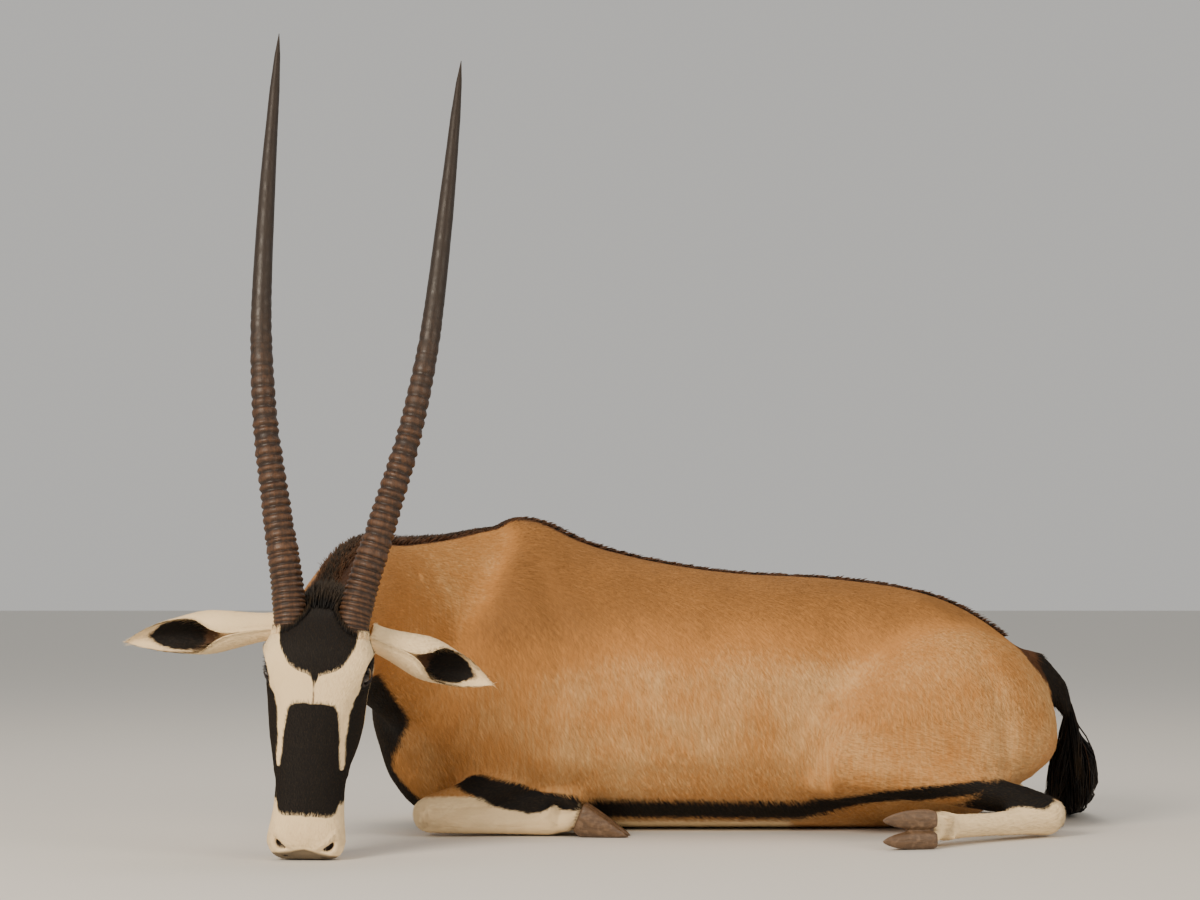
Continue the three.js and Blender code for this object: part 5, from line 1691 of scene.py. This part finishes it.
def eye_sockets(tree):
    """Wet eyeball: dark brown iris round a level slit of a pupil under a clear smooth cornea."""
    iris, pupil = (add_node(tree, "ShaderNodeAttribute", output="Fac", attribute_name=name)
                   for name in ("iris", "pupil"))
    fibres = add_node(tree, "ShaderNodeMath", [grain(tree, 1.6), 0.5, -0.25], operation="MULTIPLY_ADD")
    streaked = add_node(tree, "ShaderNodeMath", [iris, fibres], operation="ADD")
    colour = layered(tree, linear("#140A05"), [
        (streaked, 0.1, 0.9, 1, linear("#2A160A")),
        (iris, 0.95, 1.08, 1, linear("#1A1411")),
        (pupil, 1.1, 0.9, 1, linear("#030304")),
    ])
    return {"Base Color": colour, "Roughness": 0.12, "IOR": 1.376, "Coat Weight": 1, "Coat Roughness": 0.04}


class GEMSBOK_OT_eyes(bpy.types.Operator):
    """Round the eyeballs and mark their iris and pupil"""
    bl_idname = "gemsbok.eyes"
    bl_label = "Eyes"

    def execute(self, context):
        material = new_material("moist_eyeball", eye_sockets)
        points, faces = ball(EYE_RADIUS - EYE_INSET)
        for side, number in HEAD_SIDES.items():
            centre, look, slit, lower = eye_frame(number)
            out = points @ look / EYE_RADIUS
            bulge = 1 + CORNEA_BULGE * smoothstep(out, 0.72, 0.9)
            mesh = new_mesh("eye", to_row(head_to_plan(centre + points * bulge[:, None])), faces)
            store(mesh, "iris", np.degrees(np.arccos(np.clip(out, -1, 1))) / IRIS_ANGLE)
            level = np.abs(points @ slit) / PUPIL["half_length"]
            upright = np.abs(points @ lower) / PUPIL["half_height"]
            store(mesh, "pupil", np.where(out > 0, (level ** 3 + upright ** 3) ** (1 / 3), 9))
            set_smooth(mesh)
            finished(add_object(f"eyeball_{side}", mesh), material, [f"eye_{side}"])
        return {"FINISHED"}


def hoof_sockets(tree):
    """Horn wall of the claws: dull, with growth lines round it, scuffed paler and chipped by stony ground."""
    growth = [grain(tree, 5, stretch=(0.25, 1, 1)), 0.35, 0.65]
    lines = add_node(tree, "ShaderNodeMapRange", growth, **SMOOTH)
    relief = {"Height": lines, "Strength": 0.5, "Distance": 0.8 * MM}
    return {
        "Base Color": layered(tree, settings().colours.hoof, [
            (*growth, 0.7, linear("#6B5138")),
            (grain(tree, 9, 4), 0.45, 0.72, 0.4, linear("#94765A")),
        ]),
        "Normal": add_node(tree, "ShaderNodeBump", relief),
        "Roughness": 0.5,
        "IOR": 1.54,
    }


class GEMSBOK_OT_hooves(bpy.types.Operator):
    """Round the two claws of each foot"""
    bl_idname = "gemsbok.hooves"
    bl_label = "Hooves"

    def execute(self, context):
        material = new_material("hoof_horn_wall", hoof_sockets)
        for limb in ("fore", "hind"):
            for side in HEAD_SIDES:
                nodes = [f"hoof_{limb}_{side}_{claw}" for claw in ("inner", "outer")]
                mesh = remeshed(merged_copy(nodes), 2.2 * MM)
                ends = edges_of(mesh)
                points = smoothed(mesh_points(mesh), ends, 0.5, 26)
                points = smoothed(points, ends, -0.3, 8)
                points[:, 2] = np.maximum(points[:, 2], 0)
                move_points(mesh, points)
                set_smooth(mesh)
                finished(add_object(f"hooves_{limb}_{side}", mesh), material, nodes)
        return {"FINISHED"}


def floor_sockets(tree):
    """Matt painted board: an even pale ground that takes soft shadows."""
    return {"Base Color": linear("#D8D5CF"), "Roughness": 0.9}


# Lights: place in metres from the body's middle, size in metres and share of the main light's power
LIGHTS = [
    ("key_light", (-2.8, -4.4, 2.6), 2.0, 1.9),
    ("fill_light", (3.6, -3.4, 1.8), 2.6, 0.5),
    ("top_light", (0.2, 1.4, 4.2), 2.8, 0.35),
]
LIGHT_COLOUR = "#FFF0DC"
WORLD_COLOUR = "#F1EFEB"
WORLD_STRENGTH = 0.62
FLOOR_HALF_WIDTH = 30.0
# The photo's view: lens and picture width in millimetres, and how far the camera looks up
CAMERA_LENS = 81.9
CAMERA_SENSOR = 36
CAMERA_TILT = math.atan(126 / 2730)


class GEMSBOK_OT_stage(bpy.types.Operator):
    """Set the pale floor, the soft lights and the camera"""
    bl_idname = "gemsbok.stage"
    bl_label = "Stage"

    def execute(self, context):
        scene = context.scene
        studio = settings().studio
        wide = FLOOR_HALF_WIDTH
        corners = [(-wide, -wide, 0), (wide, -wide, 0), (wide, wide, 0), (-wide, wide, 0)]
        floor = add_object("floor", new_mesh("floor", corners, [(0, 1, 2, 3)]))
        floor.data.materials.append(new_material("matt_painted_board", floor_sockets))
        scene.world = bpy.data.worlds.new("studio_light")
        scene.world.use_nodes = True
        background = scene.world.node_tree.nodes["Background"].inputs
        background["Color"].default_value = (*linear(WORLD_COLOUR), 1)
        background["Strength"].default_value = WORLD_STRENGTH
        middle = Vector(to_row([(0, 0, 350)])[0])
        for name, place, size, share in LIGHTS:
            data = bpy.data.lights.new(name, "AREA")
            data.shape = "DISK"
            data.size = size
            data.energy = studio.key_power * share
            data.color = linear(LIGHT_COLOUR)
            light = add_object(name, data)
            light.location = middle + Vector(place)
            light.rotation_euler = (middle - light.location).to_track_quat("-Z", "Y").to_euler()
        data = bpy.data.cameras.new("camera")
        data.lens = CAMERA_LENS
        data.sensor_width = CAMERA_SENSOR
        camera = add_object("camera", data)
        camera.location = to_row([(0, -studio.camera_distance / MM, studio.camera_height / MM)])[0]
        camera.rotation_euler = (math.pi / 2 + CAMERA_TILT, 0, 0)
        scene.camera = camera
        return {"FINISHED"}


OPERATORS = [
    GEMSBOK_OT_skin, GEMSBOK_OT_coat, GEMSBOK_OT_mane, GEMSBOK_OT_fringes, GEMSBOK_OT_tail_hair,
    GEMSBOK_OT_horns, GEMSBOK_OT_eyes, GEMSBOK_OT_hooves, GEMSBOK_OT_stage,
]


class GEMSBOK_PT_panel(bpy.types.Panel):
    """Lists the gemsbok's settings and pieces"""
    bl_label = "Gemsbok"
    bl_idname = "GEMSBOK_PT_panel"
    bl_space_type = "VIEW_3D"
    bl_region_type = "UI"
    bl_category = "Gemsbok"

    def draw(self, context):
        for group in ("skin", "coat", "colours", "studio"):
            box = self.layout.box()
            box.label(text=group.capitalize())
            values = getattr(context.scene.gemsbok, group)
            for name in values.bl_rna.properties.keys():
                if name not in ("rna_type", "name"):
                    box.prop(values, name)
        for operator in OPERATORS:
            self.layout.operator(operator.bl_idname)


CLASSES = [
    SkinSettings, CoatSettings, ColourSettings, StudioSettings, GemsbokSettings, *OPERATORS,
    GEMSBOK_PT_panel,
]


def register():
    for cls in CLASSES:
        bpy.utils.register_class(cls)
    bpy.types.Scene.gemsbok = PointerProperty(type=GemsbokSettings)


def unregister():
    del bpy.types.Scene.gemsbok
    for cls in reversed(CLASSES):
        bpy.utils.unregister_class(cls)


def main():
    register()
    for operator in OPERATORS:
        piece = operator.bl_idname.split(".")[1]
        getattr(bpy.ops.gemsbok, piece)()


if __name__ == "__main__":
    main()
